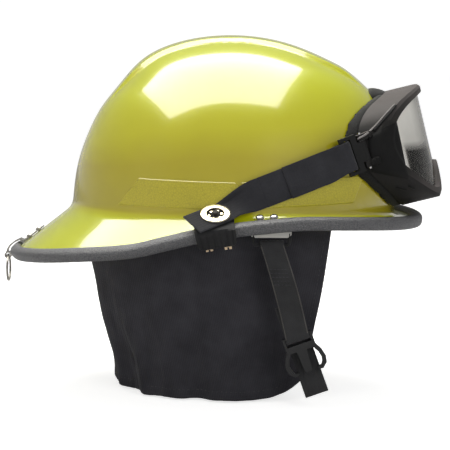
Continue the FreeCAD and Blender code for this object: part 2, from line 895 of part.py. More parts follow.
def chin_plate(side):
    """Flange under the brim with a tab, two legs and a bar below it."""
    x0, x1 = PLATE_X
    flange = brim_bar([(-14.5, FLANGE_TOP), (-6.8, FLANGE_TOP),
                       (-6.8, FLANGE_LOW), (-14.5, FLANGE_LOW)],
                      [edge_angle(x, side) for x in spread(x0, x1, 8)])
    y = side * BAR_Y
    # the tab stops just above the flange's underside
    above = brim_place(box(-60, 60, -30, 30, 0, 30), chin_frame(side, 24.0),
                       -10.0, -SHELL_T / 2 - 2.15)
    tab = box(x0, x1, y - 1.0, y + 1.0, -4.2, 6.0).cut(above)
    plate = fuse(flange, tab,
                 box(x0, x0 + 3, y - 1, y + 1, BAR_Z, -3),
                 box(x1 - 3, x1, y - 1, y + 1, BAR_Z, -3),
                 rod(1.5, (x0, y, BAR_Z), X_AXIS, x1 - x0))
    for x in SCREW_X:
        frame = chin_frame(side, x)
        # the wider cut clears the nut
        plate = plate.cut([brim_rod(HOLE_R, frame, SCREW_OUT, -10.0, 12.0),
                           brim_rod(3.5, frame, SCREW_OUT, -7.2, 3.3)])
    return plate


def chin_plate_screws():
    """Cross-head screws; local z = 0 is under the head."""
    head_r, head_h, shank_r, length = 3.1, 2.2, 1.5, 7.9
    cone = Part.makeCone(head_r, head_r * 0.62, head_h * 0.45, Vector(0, 0, head_h * 0.55))
    screw = fuse(disc(head_r, 0, head_h * 0.55), cone, disc(shank_r, -length, 0))
    recess = head_h * 0.6
    half_long, half_wide = head_r * 0.55, head_r * 0.12
    for turn in (0, 90):
        slot = box(-half_long, half_long, -half_wide, half_wide,
                   head_h - recess, head_h + 0.1)
        slot.rotate(Vector(0, 0, 0), Vector(0, 0, 1), turn)
        screw = screw.cut(slot)
    screws = []
    for frame in SCREW_FRAMES:
        up = frame[2]
        x_dir = unit(cross(Y_AXIS, up))
        screws.append(place(screw, on_brim(frame, SCREW_OUT, SHELL_T / 2 + 0.35),
                            x_dir, cross(up, x_dir), up))
    return group(screws)


def chin_plate_nuts():
    corners = [(3.1 * cos(pi / 3 * k), 3.1 * sin(pi / 3 * k)) for k in range(6)]
    nut = prism(corners, 0, NUT_H).cut(disc(1.56, -1, 3))
    return group([brim_place(nut, frame, SCREW_OUT, FLANGE_LOW - 0.1 - NUT_H)
                  for frame in SCREW_FRAMES])


# --------------------------------------------------- chin strap and buckle
# The right strap hangs from its plate's bar, leaning forward, down to the
# buckle's bar.
CHIN_TOP = (29.0, -BAR_Y, BAR_Z)
BUCKLE = (49.0, -BAR_Y, -83.0)
BUCKLE_DOWN = unit((0.33, 0.0, -0.944))
BUCKLE_ALONG = (-BUCKLE_DOWN[2], 0.0, BUCKLE_DOWN[0])
TOP_BORE = 1.9                   # inner radius of the loop round the plate's bar
LOOP_BORE = 2.2                  # inner radius of the loop round the buckle's bar


def chin_strap_right():
    half = CHIN_W / 2
    y = -BAR_Y - CHIN_T / 2
    top_loop = tube(CHIN_TOP, X_AXIS, CHIN_W, TOP_BORE, TOP_BORE + CHIN_T)
    start = move(CHIN_TOP, Z_AXIS, -TOP_BORE - CHIN_T * 0.5)
    end = move(BUCKLE, BUCKLE_DOWN, -3.4)
    corners = [move(start, X_AXIS, -half), move(start, X_AXIS, half),
               move(end, BUCKLE_ALONG, half), move(end, BUCKLE_ALONG, -half)]
    webbing = flat([(p[0], y, p[2]) for p in corners]).extrude(Vector(0, CHIN_T, 0))
    low_loop = tube(BUCKLE, BUCKLE_ALONG, CHIN_W, LOOP_BORE, LOOP_BORE + 1.4)
    strap = fuse(top_loop, webbing, low_loop)
    return strap.cut([rod(TOP_BORE, move(CHIN_TOP, X_AXIS, -30), X_AXIS, 60),
                      rod(LOOP_BORE, move(BUCKLE, BUCKLE_ALONG, -30), BUCKLE_ALONG, 60)])


def buckle_place(shape):
    """Local x along the bar, y down the buckle, z toward the mid-plane."""
    return place(shape, BUCKLE, BUCKLE_ALONG, BUCKLE_DOWN, cross(BUCKLE_ALONG, BUCKLE_DOWN))


def buckle_bar(half_length, cheek_inner, half_height):
    """Webbing bar and the two cheeks that carry it."""
    return [rod(1.7, (-half_length, 0, 0), X_AXIS, 2 * half_length),
            box(-half_length, -cheek_inner, -1.7, 8, -half_height, half_height),
            box(cheek_inner, half_length, -1.7, 8, -half_height, half_height)]


def buckle_male():
    """Side-release male half: bar, body with centre tongue, two sprung arms."""
    rail, left_cheek, right_cheek = buckle_bar(12, 10.2, 2.6)
    body = prism([(-12, 5.5), (12, 5.5), (12, 11), (4, 11), (3.2, 27), (2, 28.5), (-2, 28.5),
                  (-3.2, 27), (-4, 11), (-12, 11)], -2.4, 2.4)
    arm = [(9, 10.5), (12, 9), (15.2, 15), (16.6, 21), (15.6, 26), (11.6, 29.5), (8.4, 29.2),
           (8.2, 27.2), (11.2, 26.6), (12.6, 24), (13.2, 20.5), (12.0, 15.5)]
    arms = [prism([(sign * x, y) for x, y in arm], -2.2, 2.2) for sign in (1, -1)]
    return buckle_place(fuse(rail, body, left_cheek, right_cheek, *arms))


def buckle_female():
    """Hollow half with a window on each side, on the left strap."""
    rail, left_cheek, right_cheek = buckle_bar(13.5, 10.4, 2.9)
    body = prism([(-13.5, 6), (13.5, 6), (15, 12), (15, 30), (12.5, 36), (-12.5, 36),
                  (-15, 30), (-15, 12)], -4.2, 4.2)
    hollows = [box(-12.4, 12.4, 14, 40, -2.5, 2.5), box(-16, -12.6, 16, 26, -2.5, 2.5),
               box(12.6, 16, 16, 26, -2.5, 2.5)]
    return flip(buckle_place(fuse(rail, body, left_cheek, right_cheek).cut(hollows)))


def chin_strap_tail():
    """Free end of the webbing, on the inner side of the male buckle."""
    half = CHIN_W / 2
    return buckle_place(prism([(-half, 4.2), (half, 4.2), (half, 40), (half - 2, 44),
                               (-half + 1, 50), (-half, 48)], 2.9, 2.9 + 1.6))


# ------------------------------------------------------------- hanging ring
EYE_OUT, EYE_UP = 9.2, 1.4       # axis of the bracket's tube


def hanging_ring():
    eye = on_brim(REAR, EYE_OUT, EYE_UP)
    ring = Part.makeTorus(RING_R, RING_WIRE, Vector(0, 0, 0), Vector(1, 0, 0))
    ring.translate(Vector(eye[0], 0, eye[2] - RING_R))
    return ring


def ring_bracket():
    """Bent plate from the brim over the trim, ending in a short tube.  Local x
    is out, y up and z across the helmet."""
    path = [(-30.0, 2.5), (-9.5, 2.5), (-7.6, 6.0), (-3.0, 7.0), (2.2, 7.0), (5.4, 6.0),
            (9.2, 3.6)]
    plate = prism(offset_path(path, 0.6) + offset_path(path, -0.6)[::-1], -6.0, 6.0)
    bracket = fuse(plate, rod(3.0, (EYE_OUT, EYE_UP, -4.0), Z_AXIS, 8.0))
    bracket = bracket.cut(rod(2.05, (EYE_OUT, EYE_UP, -10.0), Z_AXIS, 20.0))
    # the plate is narrowed to the tube's length at its outer end
    bracket = bracket.cut([box(4.6, 20, -8, 20, 4.0, 8.0), box(4.6, 20, -8, 20, -8.0, -4.0)])
    for out in RIVET_OUT:
        bracket = bracket.cut(rod(HOLE_R, (out, -4, 0), Y_AXIS, 12.0))
    point, out, up, _ = REAR
    return place(bracket, point, out, up, cross(out, up))


def ring_rivets():
    rivet = turned([(0, -2.8), (2.6, -2.8), (2.6, -1.8), (1.5, -1.8), (1.5, 3.25),
                    (2.9, 3.25), (2.6, 4.1), (1.7, 4.7), (0, 4.95)])
    return group([brim_place(rivet, REAR, out, 0.0) for out in RIVET_OUT])


# ------------------------------------------------------ goggle strap mounts
# built on the right side and mirrored
STUD = (STUD_X, -STUD_Y, STUD_Z)
STUD_AXIS = (0.0, -0.5, 0.8660)      # up and outboard
STUD_ACROSS = (0.0, 0.8660, 0.5)     # inboard and up
CLAMP_X = (-29.5, 0.5)
CLAMP_SCREW_X = (-22.6, -7.2)
CLAMP_SCREW_OUT = -0.8


def stud_place(shape):
    return place(shape, STUD, X_AXIS, STUD_ACROSS, STUD_AXIS)


def goggle_clamp_right():
    """Jaw that wraps the trim, with a round boss for the strap stud."""
    start, end = [edge_angle(x, -1) for x in CLAMP_X]
    jaw = brim_bar([(-14.8, 3.6), (-14.8, 6.8), (-2.0, 9.2), (5.0, 9.2), (8.4, 6.0),
                    (8.8, -7.5), (7.0, -9.2), (-9.5, -9.2), (-9.5, -6.2), (5.1, -6.2),
                    (5.1, 6.0), (-6.8, 6.0), (-8.5, 3.6)], spread(start, end, 8))
    boss = stud_place(disc(12.5, -14.6, -2.0).cut(box(-15, 15, 5.9, 17.9, -20, 0)))
    # cut the boss away below the top jaw
    boss = boss.cut(brim_bar([(-26, 4.3), (-8.5, 4.3), (-6.8, 6.9), (5.8, 6.9), (5.8, 3),
                              (12, 3), (12, -24), (-26, -24)],
                             spread(start - 0.04, end + 0.04, 8)))
    # and level the jaw with the boss's top
    jaw = jaw.cut(stud_place(box(-30, 30, -30, 30, -2.0, 12.0)))
    clamp = jaw.fuse(boss).cut(stud_place(disc(2.3, -9.0, 3.0)))
    for x in CLAMP_SCREW_X:
        clamp = clamp.cut(brim_rod(1.65, chin_frame(-1, x), CLAMP_SCREW_OUT, -12.0, 6.2))
    return clamp


def clamp_screws():
    """Slotted screws driven up into the jaw's lower side."""
    head = disc(3.0, 0, 5.0).cut(box(-3.2, 3.2, -0.6, 0.6, 2.4, 5.5))
    screw = fuse(disc(1.6, -3.6, 0), head)
    screws = []
    for x in CLAMP_SCREW_X:
        frame = chin_frame(-1, x)
        down, along = negative(frame[2]), frame[3]
        placed = place(screw, on_brim(frame, CLAMP_SCREW_OUT, -9.35),
                       along, cross(down, along), down)
        screws += [placed, flip(placed)]
    return group(screws)


def clip_above(points, limit):
    """Keep the part of a polygon at y <= limit."""
    kept = []
    for i, p in enumerate(points):
        q = points[(i + 1) % len(points)]
        a, b = p[1] - limit, q[1] - limit
        if a <= 0:
            kept.append(p)
        if a * b < 0:
            t = a / (a - b)
            kept.append((p[0] + (q[0] - p[0]) * t, p[1] + (q[1] - p[1]) * t))
    return kept


def strap_end_right():
    """Webbing end on the stud, turned to the strap's run."""
    c, s = cos(radians(34.0)), sin(radians(34.0))
    half = STRAP_W / 2
    corners = [(-22, -half), (13, -half), (13, half), (-22, half)]
    outline = clip_above([(a * c - b * s, a * s + b * c) for a, b in corners], 11.0)
    return stud_place(prism(outline, -1.7, 0.5).cut(disc(4.2, -3, 3)))


def grommet_right():
    """Flanged eyelet through the strap end."""
    ring = disc(11.5, 0.7, 1.9).cut(disc(6.2, -2, 4))
    bead = Part.makeTorus(9.0, 0.75, Vector(0, 0, 1.9))
    eyelet = fuse(ring, bead, disc(6.6, 0.7, 1.4), disc(4.0, -1.5, 1.1))
    return stud_place(eyelet.cut(disc(2.9, -5, 7)))


def strap_stud_right():
    """Stud pressed in the clamp's boss: post, waist and domed head."""
    return stud_place(turned([(0, -8.5), (2.25, -8.5), (2.25, -1.98), (2.8, -1.98),
                              (2.8, -1.85), (2.1, -1.6), (2.1, 1.2), (2.7, 1.9),
                              (2.7, 2.6), (1.9, 3.2), (0, 3.5)]))


# ------------------------------------------------------------- the goggles
# Goggle frame of reference: y as on the helmet, w up the lens, f forward.
GOGGLE = (165.7, 0.0, 62.1)
GOGGLE_UP = (-0.23688, 0.0, 0.97154)
GOGGLE_FRONT = (0.97154, 0.0, 0.23688)
LENS_R = 99.0                    # front of the lens, a cylinder about w
LENS_BACK_R = LENS_R - 2.3
FOAM = 8.4                       # frame's back stands this far off the dome
RIM_POINTS = 72

# left half of the rim as (y, w), from top middle to bottom middle
HALF_RIM = [
    (0, 52.5), (20, 52.2), (40, 50.6), (58, 47.3), (70, 42.3), (79, 34.8), (84, 25),
    (85.4, 12), (84.2, 0), (79.5, -10), (71, -20), (60.5, -29.5), (49, -37), (37.5, -41),
    (27.5, -39.5), (20, -32.5), (13, -23.5), (6.5, -16.8), (0, -14.6)]


def closed_curve(half, count):
    """Smooth closed curve in even steps, from a half outline mirrored in y."""
    points = half + [(-y, w) for y, w in half[-2:0:-1]]
    n = len(points)
    fine = []
    for i in range(n):
        p0, p1, p2, p3 = points[i - 1], points[i], points[(i + 1) % n], points[(i + 2) % n]
        for k in range(12):
            t = k / 12
            fine.append(tuple(
                0.5 * (2 * p1[a] + (p2[a] - p0[a]) * t
                       + (2 * p0[a] - 5 * p1[a] + 4 * p2[a] - p3[a]) * t * t
                       + (3 * p1[a] - p0[a] - 3 * p2[a] + p3[a]) * t ** 3) for a in (0, 1)))
    ends = fine[1:] + fine[:1]
    lengths = [hypot(b[0] - a[0], b[1] - a[1]) for a, b in zip(fine, ends)]
    total = sum(lengths)
    even, i, passed = [], 0, 0.0
    for k in range(count):
        target = total * k / count
        while passed + lengths[i] < target:
            passed += lengths[i]
            i += 1
        t = (target - passed) / lengths[i]
        a, b = fine[i], ends[i]
        even.append((a[0] + (b[0] - a[0]) * t, a[1] + (b[1] - a[1]) * t))
    return even


def inset(curve, distance):
    """Inward offset of a clockwise loop in small smoothed steps, so tight
    corners stay clean."""
    points = curve
    n = len(points)
    steps = max(1, int(ceil(distance)))
    for _ in range(steps):
        new = []
        for i in range(n):
            a, b = points[i - 1], points[(i + 1) % n]
            run = (b[0] - a[0], b[1] - a[1])
            scale = distance / steps / hypot(*run)
            new.append((points[i][0] + run[1] * scale, points[i][1] - run[0] * scale))
        points = [tuple(0.5 * p[k] + 0.25 * (new[i - 1][k] + new[(i + 1) % n][k])
                        for k in (0, 1)) for i, p in enumerate(new)]
    return points


RIM = closed_curve(HALF_RIM, RIM_POINTS)     # clockwise seen from the front
OPENING = inset(RIM, 7.0)                    # the frame's lens opening


def lens_front(y):
    return sqrt(LENS_R ** 2 - y * y) - LENS_R


def lens_back(y):
    return sqrt(LENS_BACK_R ** 2 - y * y) - LENS_R


def goggle_point(y, w, f):
    return move(move((GOGGLE[0], y, GOGGLE[2]), GOGGLE_UP, w), GOGGLE_FRONT, f)


def front_row(curve, lift):
    """Loop at a distance in front of the lens's front."""
    return [goggle_point(y, w, lens_front(y) + lift) for y, w in curve]


def seat_row(curve):
    """Loop just behind the lens's back."""
    return [goggle_point(y, w, lens_back(y) - 0.4) for y, w in curve]


def dome_row(curve, offset):
    """Loop at a distance off the dome, found by going back from the goggles."""
    row = []
    for y, w in curve:
        f = bisect(-170.0, 20.0,
                   lambda depth: dome_distance(goggle_point(y, w, depth)) < offset)
        row.append(goggle_point(y, w, f))
    return row


def goggle_frame():
    """Frame with a seat for the lens and two ears per side for the clips."""
    wall_inner = inset(RIM, 3.2)
    lip = inset(RIM, 8.6)
    frame = loop_ring([
        front_row(RIM, 1.8), front_row(inset(RIM, 1.8), 3.5), front_row(inset(RIM, 5.6), 3.5),
        front_row(OPENING, 1.0), seat_row(OPENING), seat_row(lip), front_row(lip, -5.0),
        front_row(wall_inner, -7.5), dome_row(wall_inner, FOAM), dome_row(RIM, FOAM)])
    ears = [clip_box(side, -9.0, 3.4, -3.0, 2.4, w, w + 5.0)
            for side in SIDES for w in (-13.5, 8.5)]
    frame = frame.fuse(ears).removeSplitter()
    for side in SIDES:
        frame = frame.cut(clip_rod(side, 1.25, 16))
    return frame


def goggle_lens():
    points = [goggle_point(y, w, -60.0) for y, w in inset(OPENING, 0.6)]
    knot_values, mults = knots(len(points), 3, True)
    outline = Part.BSplineCurve()
    outline.buildFromPolesMultsKnots([Vector(*p) for p in ring_poles(points)], mults,
                                     knot_values, True, 3)
    column = Part.Face(Part.Wire([outline.toShape()])).extrude(
        Vector(*[k * 80.0 for k in GOGGLE_FRONT]))
    base = move(move(GOGGLE, GOGGLE_FRONT, -LENS_R), GOGGLE_UP, -80.0)
    ring = rod(LENS_R - 0.2, base, GOGGLE_UP, 160.0).cut(
        rod(LENS_BACK_R, base, GOGGLE_UP, 160.0))
    return column.common(ring)


def goggle_face_foam():
    outer, inner = inset(RIM, 0.6), inset(RIM, 8.0)
    front, back = FOAM - 1.3, 0.9
    return loop_ring([dome_row(outer, front), dome_row(inner, front),
                      dome_row(inner, back), dome_row(outer, back)])


# ------------------------------------------------------------- strap clips
# They pivot on pins at the frame's sides.
PIN = (103.5, 88.4, 62.0)        # middle of the left pin


def clip_axes(side):
    """Directions: rearward along the strap, outward, and the pin's axis."""
    lean = radians(20.2)
    along = unit((-cos(lean), side * 0.36, -sin(lean)))
    axis = unit(without(GOGGLE_UP, along))
    out = cross(along, axis)
    if side < 0:
        out = negative(out)
    return along, out, axis


def clip_box(side, along0, along1, out0, out1, axis0, axis1):
    along, out, axis = clip_axes(side)
    third = cross(along, out)
    if dot(third, axis) < 0:     # third axis runs against the pin's: swap the ends
        axis0, axis1 = -axis1, -axis0
    return place(box(along0, along1, out0, out1, axis0, axis1),
                 (PIN[0], side * PIN[1], PIN[2]), along, out, third)


def clip_rod(side, radius, half_length):
    """Cylinder about the pin's axis."""
    axis = clip_axes(side)[2]
    start = move((PIN[0], side * PIN[1], PIN[2]), axis, -half_length)
    return rod(radius, start, axis, 2 * half_length)


def strap_clip(side):
    """Rectangular loop that swings on the pin and takes the strap."""
    knuckle = clip_rod(side, 2.7, 8.2)
    web = clip_box(side, 0.0, 7.0, -1.6, 2.2, -8.2, 8.2)
    plate = clip_box(side, 5.0, 19.0, -1.6, 2.2, -15.5, 15.5)
    slot = clip_box(side, 10.2, 15.6, -4, 4, -13.0, 13.0)
    return fuse(knuckle, web, plate).cut([slot, clip_rod(side, 1.26, 20)])


def clip_pins():
    return group([clip_rod(side, 1.2, 15.0) for side in SIDES])


# ---------------------------------------------------------- goggle straps
STRAP_SLOPE = 0.368              # rise per millimetre forward
STRAP_LEAN = atan(STRAP_SLOPE)
STRAP_X = (16.0, 85.0)
LEAVE_X = 58.0                   # the strap leaves the dome here and runs straight


def strap_point(x, height, side, offset):
    """Point on the strap: x along its middle, height across it."""
    if x <= LEAVE_X:
        z = 29.9 + STRAP_SLOPE * (x - 19.7)
        return dome_side(x - sin(STRAP_LEAN) * height, z + cos(STRAP_LEAN) * height,
                         side, offset)
    before = strap_point(LEAVE_X - 2.0, height, side, offset)
    last = strap_point(LEAVE_X, height, side, offset)
    return move(last, minus(last, before), (x - LEAVE_X) / 2.0)


def goggle_strap(side):
    inner, outer = [[[strap_point(x, height, side, offset) for x in spread(*STRAP_X, 18)]
                     for height in spread(-STRAP_W / 2, STRAP_W / 2, 6)]
                    for offset in (1.2, 1.2 + STRAP_T)]
    return slab(inner, outer)


# ---------------------------------------------------------------- the parts
PARTS = {
    "outer_shell": outer_shell,
    "brim_trim": brim_trim,
    "reflective_panels": reflective_panels,
    "impact_liner": impact_liner,
    "headband": headband,
    "brow_pad": brow_pad,
    "crown_strap_front": lambda: crown_strap(0),
    "crown_strap_middle": lambda: crown_strap(1),
    "crown_strap_rear": lambda: crown_strap(2),
    "suspension_clips": suspension_clips,
    "crown_pad": crown_pad,
    "ratchet_housing": ratchet_housing,
    "ratchet_cover": ratchet_cover,
    "ratchet_pinion": ratchet_pinion,
    "ratchet_knob": ratchet_knob,
    "band_tail_left": lambda: band_tail(80.0, False),
    "band_tail_right": lambda: flip(band_tail(81.8, True)),
    "nape_pad": nape_pad,
    "neck_curtain": neck_curtain,
    "curtain_lining": curtain_lining,
    "curtain_tape": curtain_tape,
    "chin_plate_right": lambda: chin_plate(-1),
    "chin_plate_left": lambda: chin_plate(1),
    "chin_plate_screws": chin_plate_screws,
    "chin_plate_nuts": chin_plate_nuts,
    "chin_strap_right": chin_strap_right,
    "chin_strap_left": lambda: flip(chin_strap_right()),
    "chin_strap_tail": chin_strap_tail,
    "buckle_male": buckle_male,
    "buckle_female": buckle_female,
    "hanging_ring": hanging_ring,
    "ring_bracket": ring_bracket,
    "ring_rivets": ring_rivets,
    "goggle_clamp_right": goggle_clamp_right,
    "goggle_clamp_left": lambda: flip(goggle_clamp_right()),
    "clamp_screws": clamp_screws,
    "strap_end_right": strap_end_right,
    "strap_end_left": lambda: flip(strap_end_right()),
    "grommet_right": grommet_right,
    "grommet_left": lambda: flip(grommet_right()),
    "strap_stud_right": strap_stud_right,
    "strap_stud_left": lambda: flip(strap_stud_right()),
    "goggle_frame": goggle_frame,
    "goggle_lens": goggle_lens,
    "goggle_face_foam": goggle_face_foam,
    "strap_clip_right": lambda: strap_clip(-1),
    "strap_clip_left": lambda: strap_clip(1),
    "clip_pins": clip_pins,
    "goggle_strap_right": lambda: goggle_strap(-1),
    "goggle_strap_left": lambda: goggle_strap(1),
}

os.makedirs("parts", exist_ok=True)
for name, make in PARTS.items():
    make().exportStep("parts/%s.step" % name)
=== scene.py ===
import json
import math

import bmesh
import bpy
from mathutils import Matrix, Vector
from mathutils import noise as mnoise
from mathutils.bvhtree import BVHTree


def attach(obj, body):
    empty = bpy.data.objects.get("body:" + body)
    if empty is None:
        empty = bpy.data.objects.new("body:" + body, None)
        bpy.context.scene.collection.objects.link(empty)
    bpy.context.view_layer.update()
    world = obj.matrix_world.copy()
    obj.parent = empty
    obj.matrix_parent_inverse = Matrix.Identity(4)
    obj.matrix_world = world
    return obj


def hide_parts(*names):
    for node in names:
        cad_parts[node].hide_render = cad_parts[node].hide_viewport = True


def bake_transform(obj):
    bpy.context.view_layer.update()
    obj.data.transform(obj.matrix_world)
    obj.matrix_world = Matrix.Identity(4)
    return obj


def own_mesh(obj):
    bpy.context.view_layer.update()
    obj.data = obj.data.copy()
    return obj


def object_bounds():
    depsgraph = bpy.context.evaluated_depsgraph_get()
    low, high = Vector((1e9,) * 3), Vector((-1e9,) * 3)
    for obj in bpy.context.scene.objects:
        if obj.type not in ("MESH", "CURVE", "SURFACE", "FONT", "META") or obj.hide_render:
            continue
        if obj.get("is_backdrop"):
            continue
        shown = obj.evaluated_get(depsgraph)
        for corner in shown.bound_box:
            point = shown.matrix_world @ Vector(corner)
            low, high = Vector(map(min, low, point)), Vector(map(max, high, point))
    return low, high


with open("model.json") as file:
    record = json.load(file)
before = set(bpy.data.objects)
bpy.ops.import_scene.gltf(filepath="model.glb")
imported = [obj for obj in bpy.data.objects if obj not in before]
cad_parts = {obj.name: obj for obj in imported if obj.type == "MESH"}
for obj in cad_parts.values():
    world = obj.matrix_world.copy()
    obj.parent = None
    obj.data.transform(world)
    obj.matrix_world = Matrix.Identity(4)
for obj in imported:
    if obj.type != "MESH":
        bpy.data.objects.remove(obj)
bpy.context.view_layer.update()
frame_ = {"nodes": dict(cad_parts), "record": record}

# lengths below are in millimetres, scaled to metres when a mesh is made


def slab(g0, g1, *rest):
    return g0, g1


CROWN_Z = 152.3          # top of the bare dome
DOME_X = -3.0            # fore-aft centre of the dome's sections
SHELL_T = 3.0            # shell wall
BAND_HALF = 27.0         # half-width of the raised crown band
BAND_RISE = 2.2          # how far the band stands above the dome
FRONT_REACH = 160.0      # trim's outermost point, front
REAR_REACH = 190.0       # trim's outermost point, rear
SIDE_REACH = 136.0       # trim's outermost point, sides
TRIM_OVER = 4.4          # trim stands this far outside the shell edge
TRIM_HALF = 5.4          # half-height of the trim
LINER_T = 14.0
LINER_GAP = 0.6
BAND_CX = -20.0          # centre of the headband's rear circle
BAND_R = 78.2            # headband's inner radius at the rear
BAND_A = 119.0           # headband's front semi-axis
STUD_X = -15.0           # goggle strap studs
STUD_Y = 128.5
STUD_Z = 14.6
STRAP_W = 25.0           # goggle strap width
STRAP_T = 1.8
CHIN_W = 19.0            # chin webbing width
CHIN_T = 1.8
CURTAIN_DROP = -141.0    # lowest point of the neck curtain
RING_R = 10.9            # hanging ring, centre-line radius
RING_WIRE = 1.15
PI = math.pi
def comb(ps, ws):
    return tuple(sum(w * p[k] for p, w in zip(ps, ws)) for k in range(3))


def add(a, b, k=1.0):
    return (a[0] + k * b[0], a[1] + k * b[1], a[2] + k * b[2])


def sub(a, b):
    return (a[0] - b[0], a[1] - b[1], a[2] - b[2])


def dot(a, b):
    return a[0] * b[0] + a[1] * b[1] + a[2] * b[2]


def cross(a, b):
    return (a[1] * b[2] - a[2] * b[1], a[2] * b[0] - a[0] * b[2],
            a[0] * b[1] - a[1] * b[0])


def unit(a):
    n = math.sqrt(dot(a, a))
    return (a[0] / n, a[1] / n, a[2] / n)


def natural(xs, ys):
    """Natural cubic spline through (xs, ys), held constant outside."""
    n = len(xs)
    h = [xs[i + 1] - xs[i] for i in range(n - 1)]
    a, b, c, r = [0.0] * n, [1.0] * n, [0.0] * n, [0.0] * n
    for i in range(1, n - 1):
        a[i], b[i], c[i] = h[i - 1], 2 * (h[i - 1] + h[i]), h[i]
        r[i] = 6 * ((ys[i + 1] - ys[i]) / h[i] - (ys[i] - ys[i - 1]) / h[i - 1])
    for i in range(1, n):
        w = a[i] / b[i - 1]
        b[i] -= w * c[i - 1]
        r[i] -= w * r[i - 1]
    m = [0.0] * n
    m[-1] = r[-1] / b[-1]
    for i in range(n - 2, -1, -1):
        m[i] = (r[i] - c[i] * m[i + 1]) / b[i]

    def f(x):
        x = min(max(x, xs[0]), xs[-1])
        i = 0
        while i < n - 2 and x > xs[i + 1]:
            i += 1
        p, q = (xs[i + 1] - x) / h[i], (x - xs[i]) / h[i]
        return (p * ys[i] + q * ys[i + 1]
                + ((p ** 3 - p) * m[i] + (q ** 3 - q) * m[i + 1]) * h[i] ** 2 / 6)
    return f


def monotone(xs, ys):
    """Monotone cubic through (xs, ys), held constant outside."""
    n = len(xs)
    h = [xs[i + 1] - xs[i] for i in range(n - 1)]
    d = [(ys[i + 1] - ys[i]) / h[i] for i in range(n - 1)]
    m = [d[0]] + [0.0] * (n - 2) + [d[-1]]
    for i in range(1, n - 1):
        if d[i - 1] * d[i] > 0:
            w1, w2 = 2 * h[i] + h[i - 1], h[i] + 2 * h[i - 1]
            m[i] = (w1 + w2) / (w1 / d[i - 1] + w2 / d[i])

    def f(x):
        x = min(max(x, xs[0]), xs[-1])
        i = 0
        while i < n - 2 and x > xs[i + 1]:
            i += 1
        t = (x - xs[i]) / h[i]
        return ((2 * t ** 3 - 3 * t * t + 1) * ys[i] + (t ** 3 - 2 * t * t + t) * h[i] * m[i]
                + (3 * t * t - 2 * t ** 3) * ys[i + 1] + (t ** 3 - t * t) * h[i] * m[i + 1])
    return f


def step(x, lo, hi):
    t = min(max((x - lo) / (hi - lo), 0.0), 1.0)
    return t * t * (3 - 2 * t)


G_REAR = natural([0, 20, 50, 80, 105, 125, 140, 152.3],
                 [120.3, 135.5, 162.5, 191.3, 216.8, 243.2, 305.0, 355.0])
G_FRONT = natural([3, 30, 60, 85, 105, 122, 138, 152.3],
                  [126.2, 168.5, 212.5, 264.5, 307.9, 331.9, 323.2, 355.0])
G_SIDE = natural([0, 30, 60, 85, 105, 122, 138, 152.3],
                 [89.9, 109.6, 133.0, 156.3, 178.8, 203.5, 232.0, 255.0])
def g_long(x, z):
    w = step(x / 130.0, -0.35, 0.35)
    return G_REAR(z) * (1 - w) + G_FRONT(z) * w


def implicit(p):
    x = p[0] - DOME_X
    z = p[2]
    return x * x / g_long(x, z) + p[1] * p[1] / G_SIDE(z) - (CROWN_Z - z)


def grad(p, h=0.02):
    return tuple((implicit(add(p, e, h)) - implicit(add(p, e, -h))) / (2 * h)
                 for e in ((1, 0, 0), (0, 1, 0), (0, 0, 1)))


def dome(th, z, off=0.0):
    """Dome point at plan parameter th and height z, moved off along the
    outward normal."""
    c, s = math.cos(th), math.sin(th)
    u = max(CROWN_Z - z, 0.0)
    a = math.sqrt(u * g_long(0, z))
    for _ in range(6):
        a = math.sqrt(u * g_long(a * c, z))
    p = (DOME_X + a * c, math.sqrt(u * G_SIDE(z)) * s, z)
    if off:
        n = unit(grad(p)) if u > 1e-6 else (0, 0, 1)
        p = add(p, n, off)
    return p


def side_y(x, z):
    u = CROWN_Z - z
    q = u - (x - DOME_X) ** 2 / g_long(x - DOME_X, z)
    return math.sqrt(max(q, 0.0) * G_SIDE(z))


def on_dome(x, z, side, off):
    p = (x, side * side_y(x, z), z)
    return add(p, unit(grad(p)), off)


def distance(p):
    g = grad(p)
    return implicit(p) / math.sqrt(dot(g, g))


EDGE_Z = monotone([-190, -166, -132, -80, -55, -16, 20, 57, 100, 142, 160],
                  [-28, -25, -21, -15, -8.7, 0.0, 4.6, 7.0, 5.2, 1.6, 0.0])
def root_z(th):
    x = dome(th, 8.0)[0]
    return 10.0 - 7.0 * (x / 137.0) ** 2 if x > 0 else 10.0 + (x / 138.0) ** 2


def edge(th):
    """Middle of the shell's edge, inside the trim."""
    c, s = math.cos(th), math.sin(th)
    k = (abs(c) ** 2.2 + abs(s) ** 2.2) ** (-1 / 2.2)
    w = step(c, -0.35, 0.35)
    a = (REAR_REACH - TRIM_OVER) * (1 - w) + (FRONT_REACH - TRIM_OVER) * w
    x = a * k * c
    return (x, (SIDE_REACH - TRIM_OVER) * k * s, EDGE_Z(x * 1.02))


def frame(th):
    """Shell edge point, outward-along-brim, brim normal (up), tangent."""
    e = edge(th)
    j = dome(th, root_z(th))
    t = unit(sub(edge(th + 0.01), edge(th - 0.01)))
    top = e
    for _ in range(4):
        o = unit(sub(top, j))
        n = unit(cross(o, t))
        if n[2] < 0:
            n = (-n[0], -n[1], -n[2])
        top = add(e, n, SHELL_T / 2)
    o = unit(sub(o, tuple(dot(o, t) * k for k in t)))
    return e, o, n, t


def loc(fr, o, n, t=0.0):
    return add(add(add(fr[0], fr[1], o), fr[2], n), fr[3], t)


def theta_at(x, side):
    """Plan parameter whose shell edge lies at the given x."""
    lo, hi = 0.0, PI
    for _ in range(50):
        m = 0.5 * (lo + hi)
        if edge(m)[0] > x:
            lo = m
        else:
            hi = m
    return side * 0.5 * (lo + hi)


CHIN_X = 28.5
SCREW_X = (20.6, 32.0)
SCREW_O = -10.0
def chin_frame(side, x=24.0):
    return frame(theta_at(x, side))


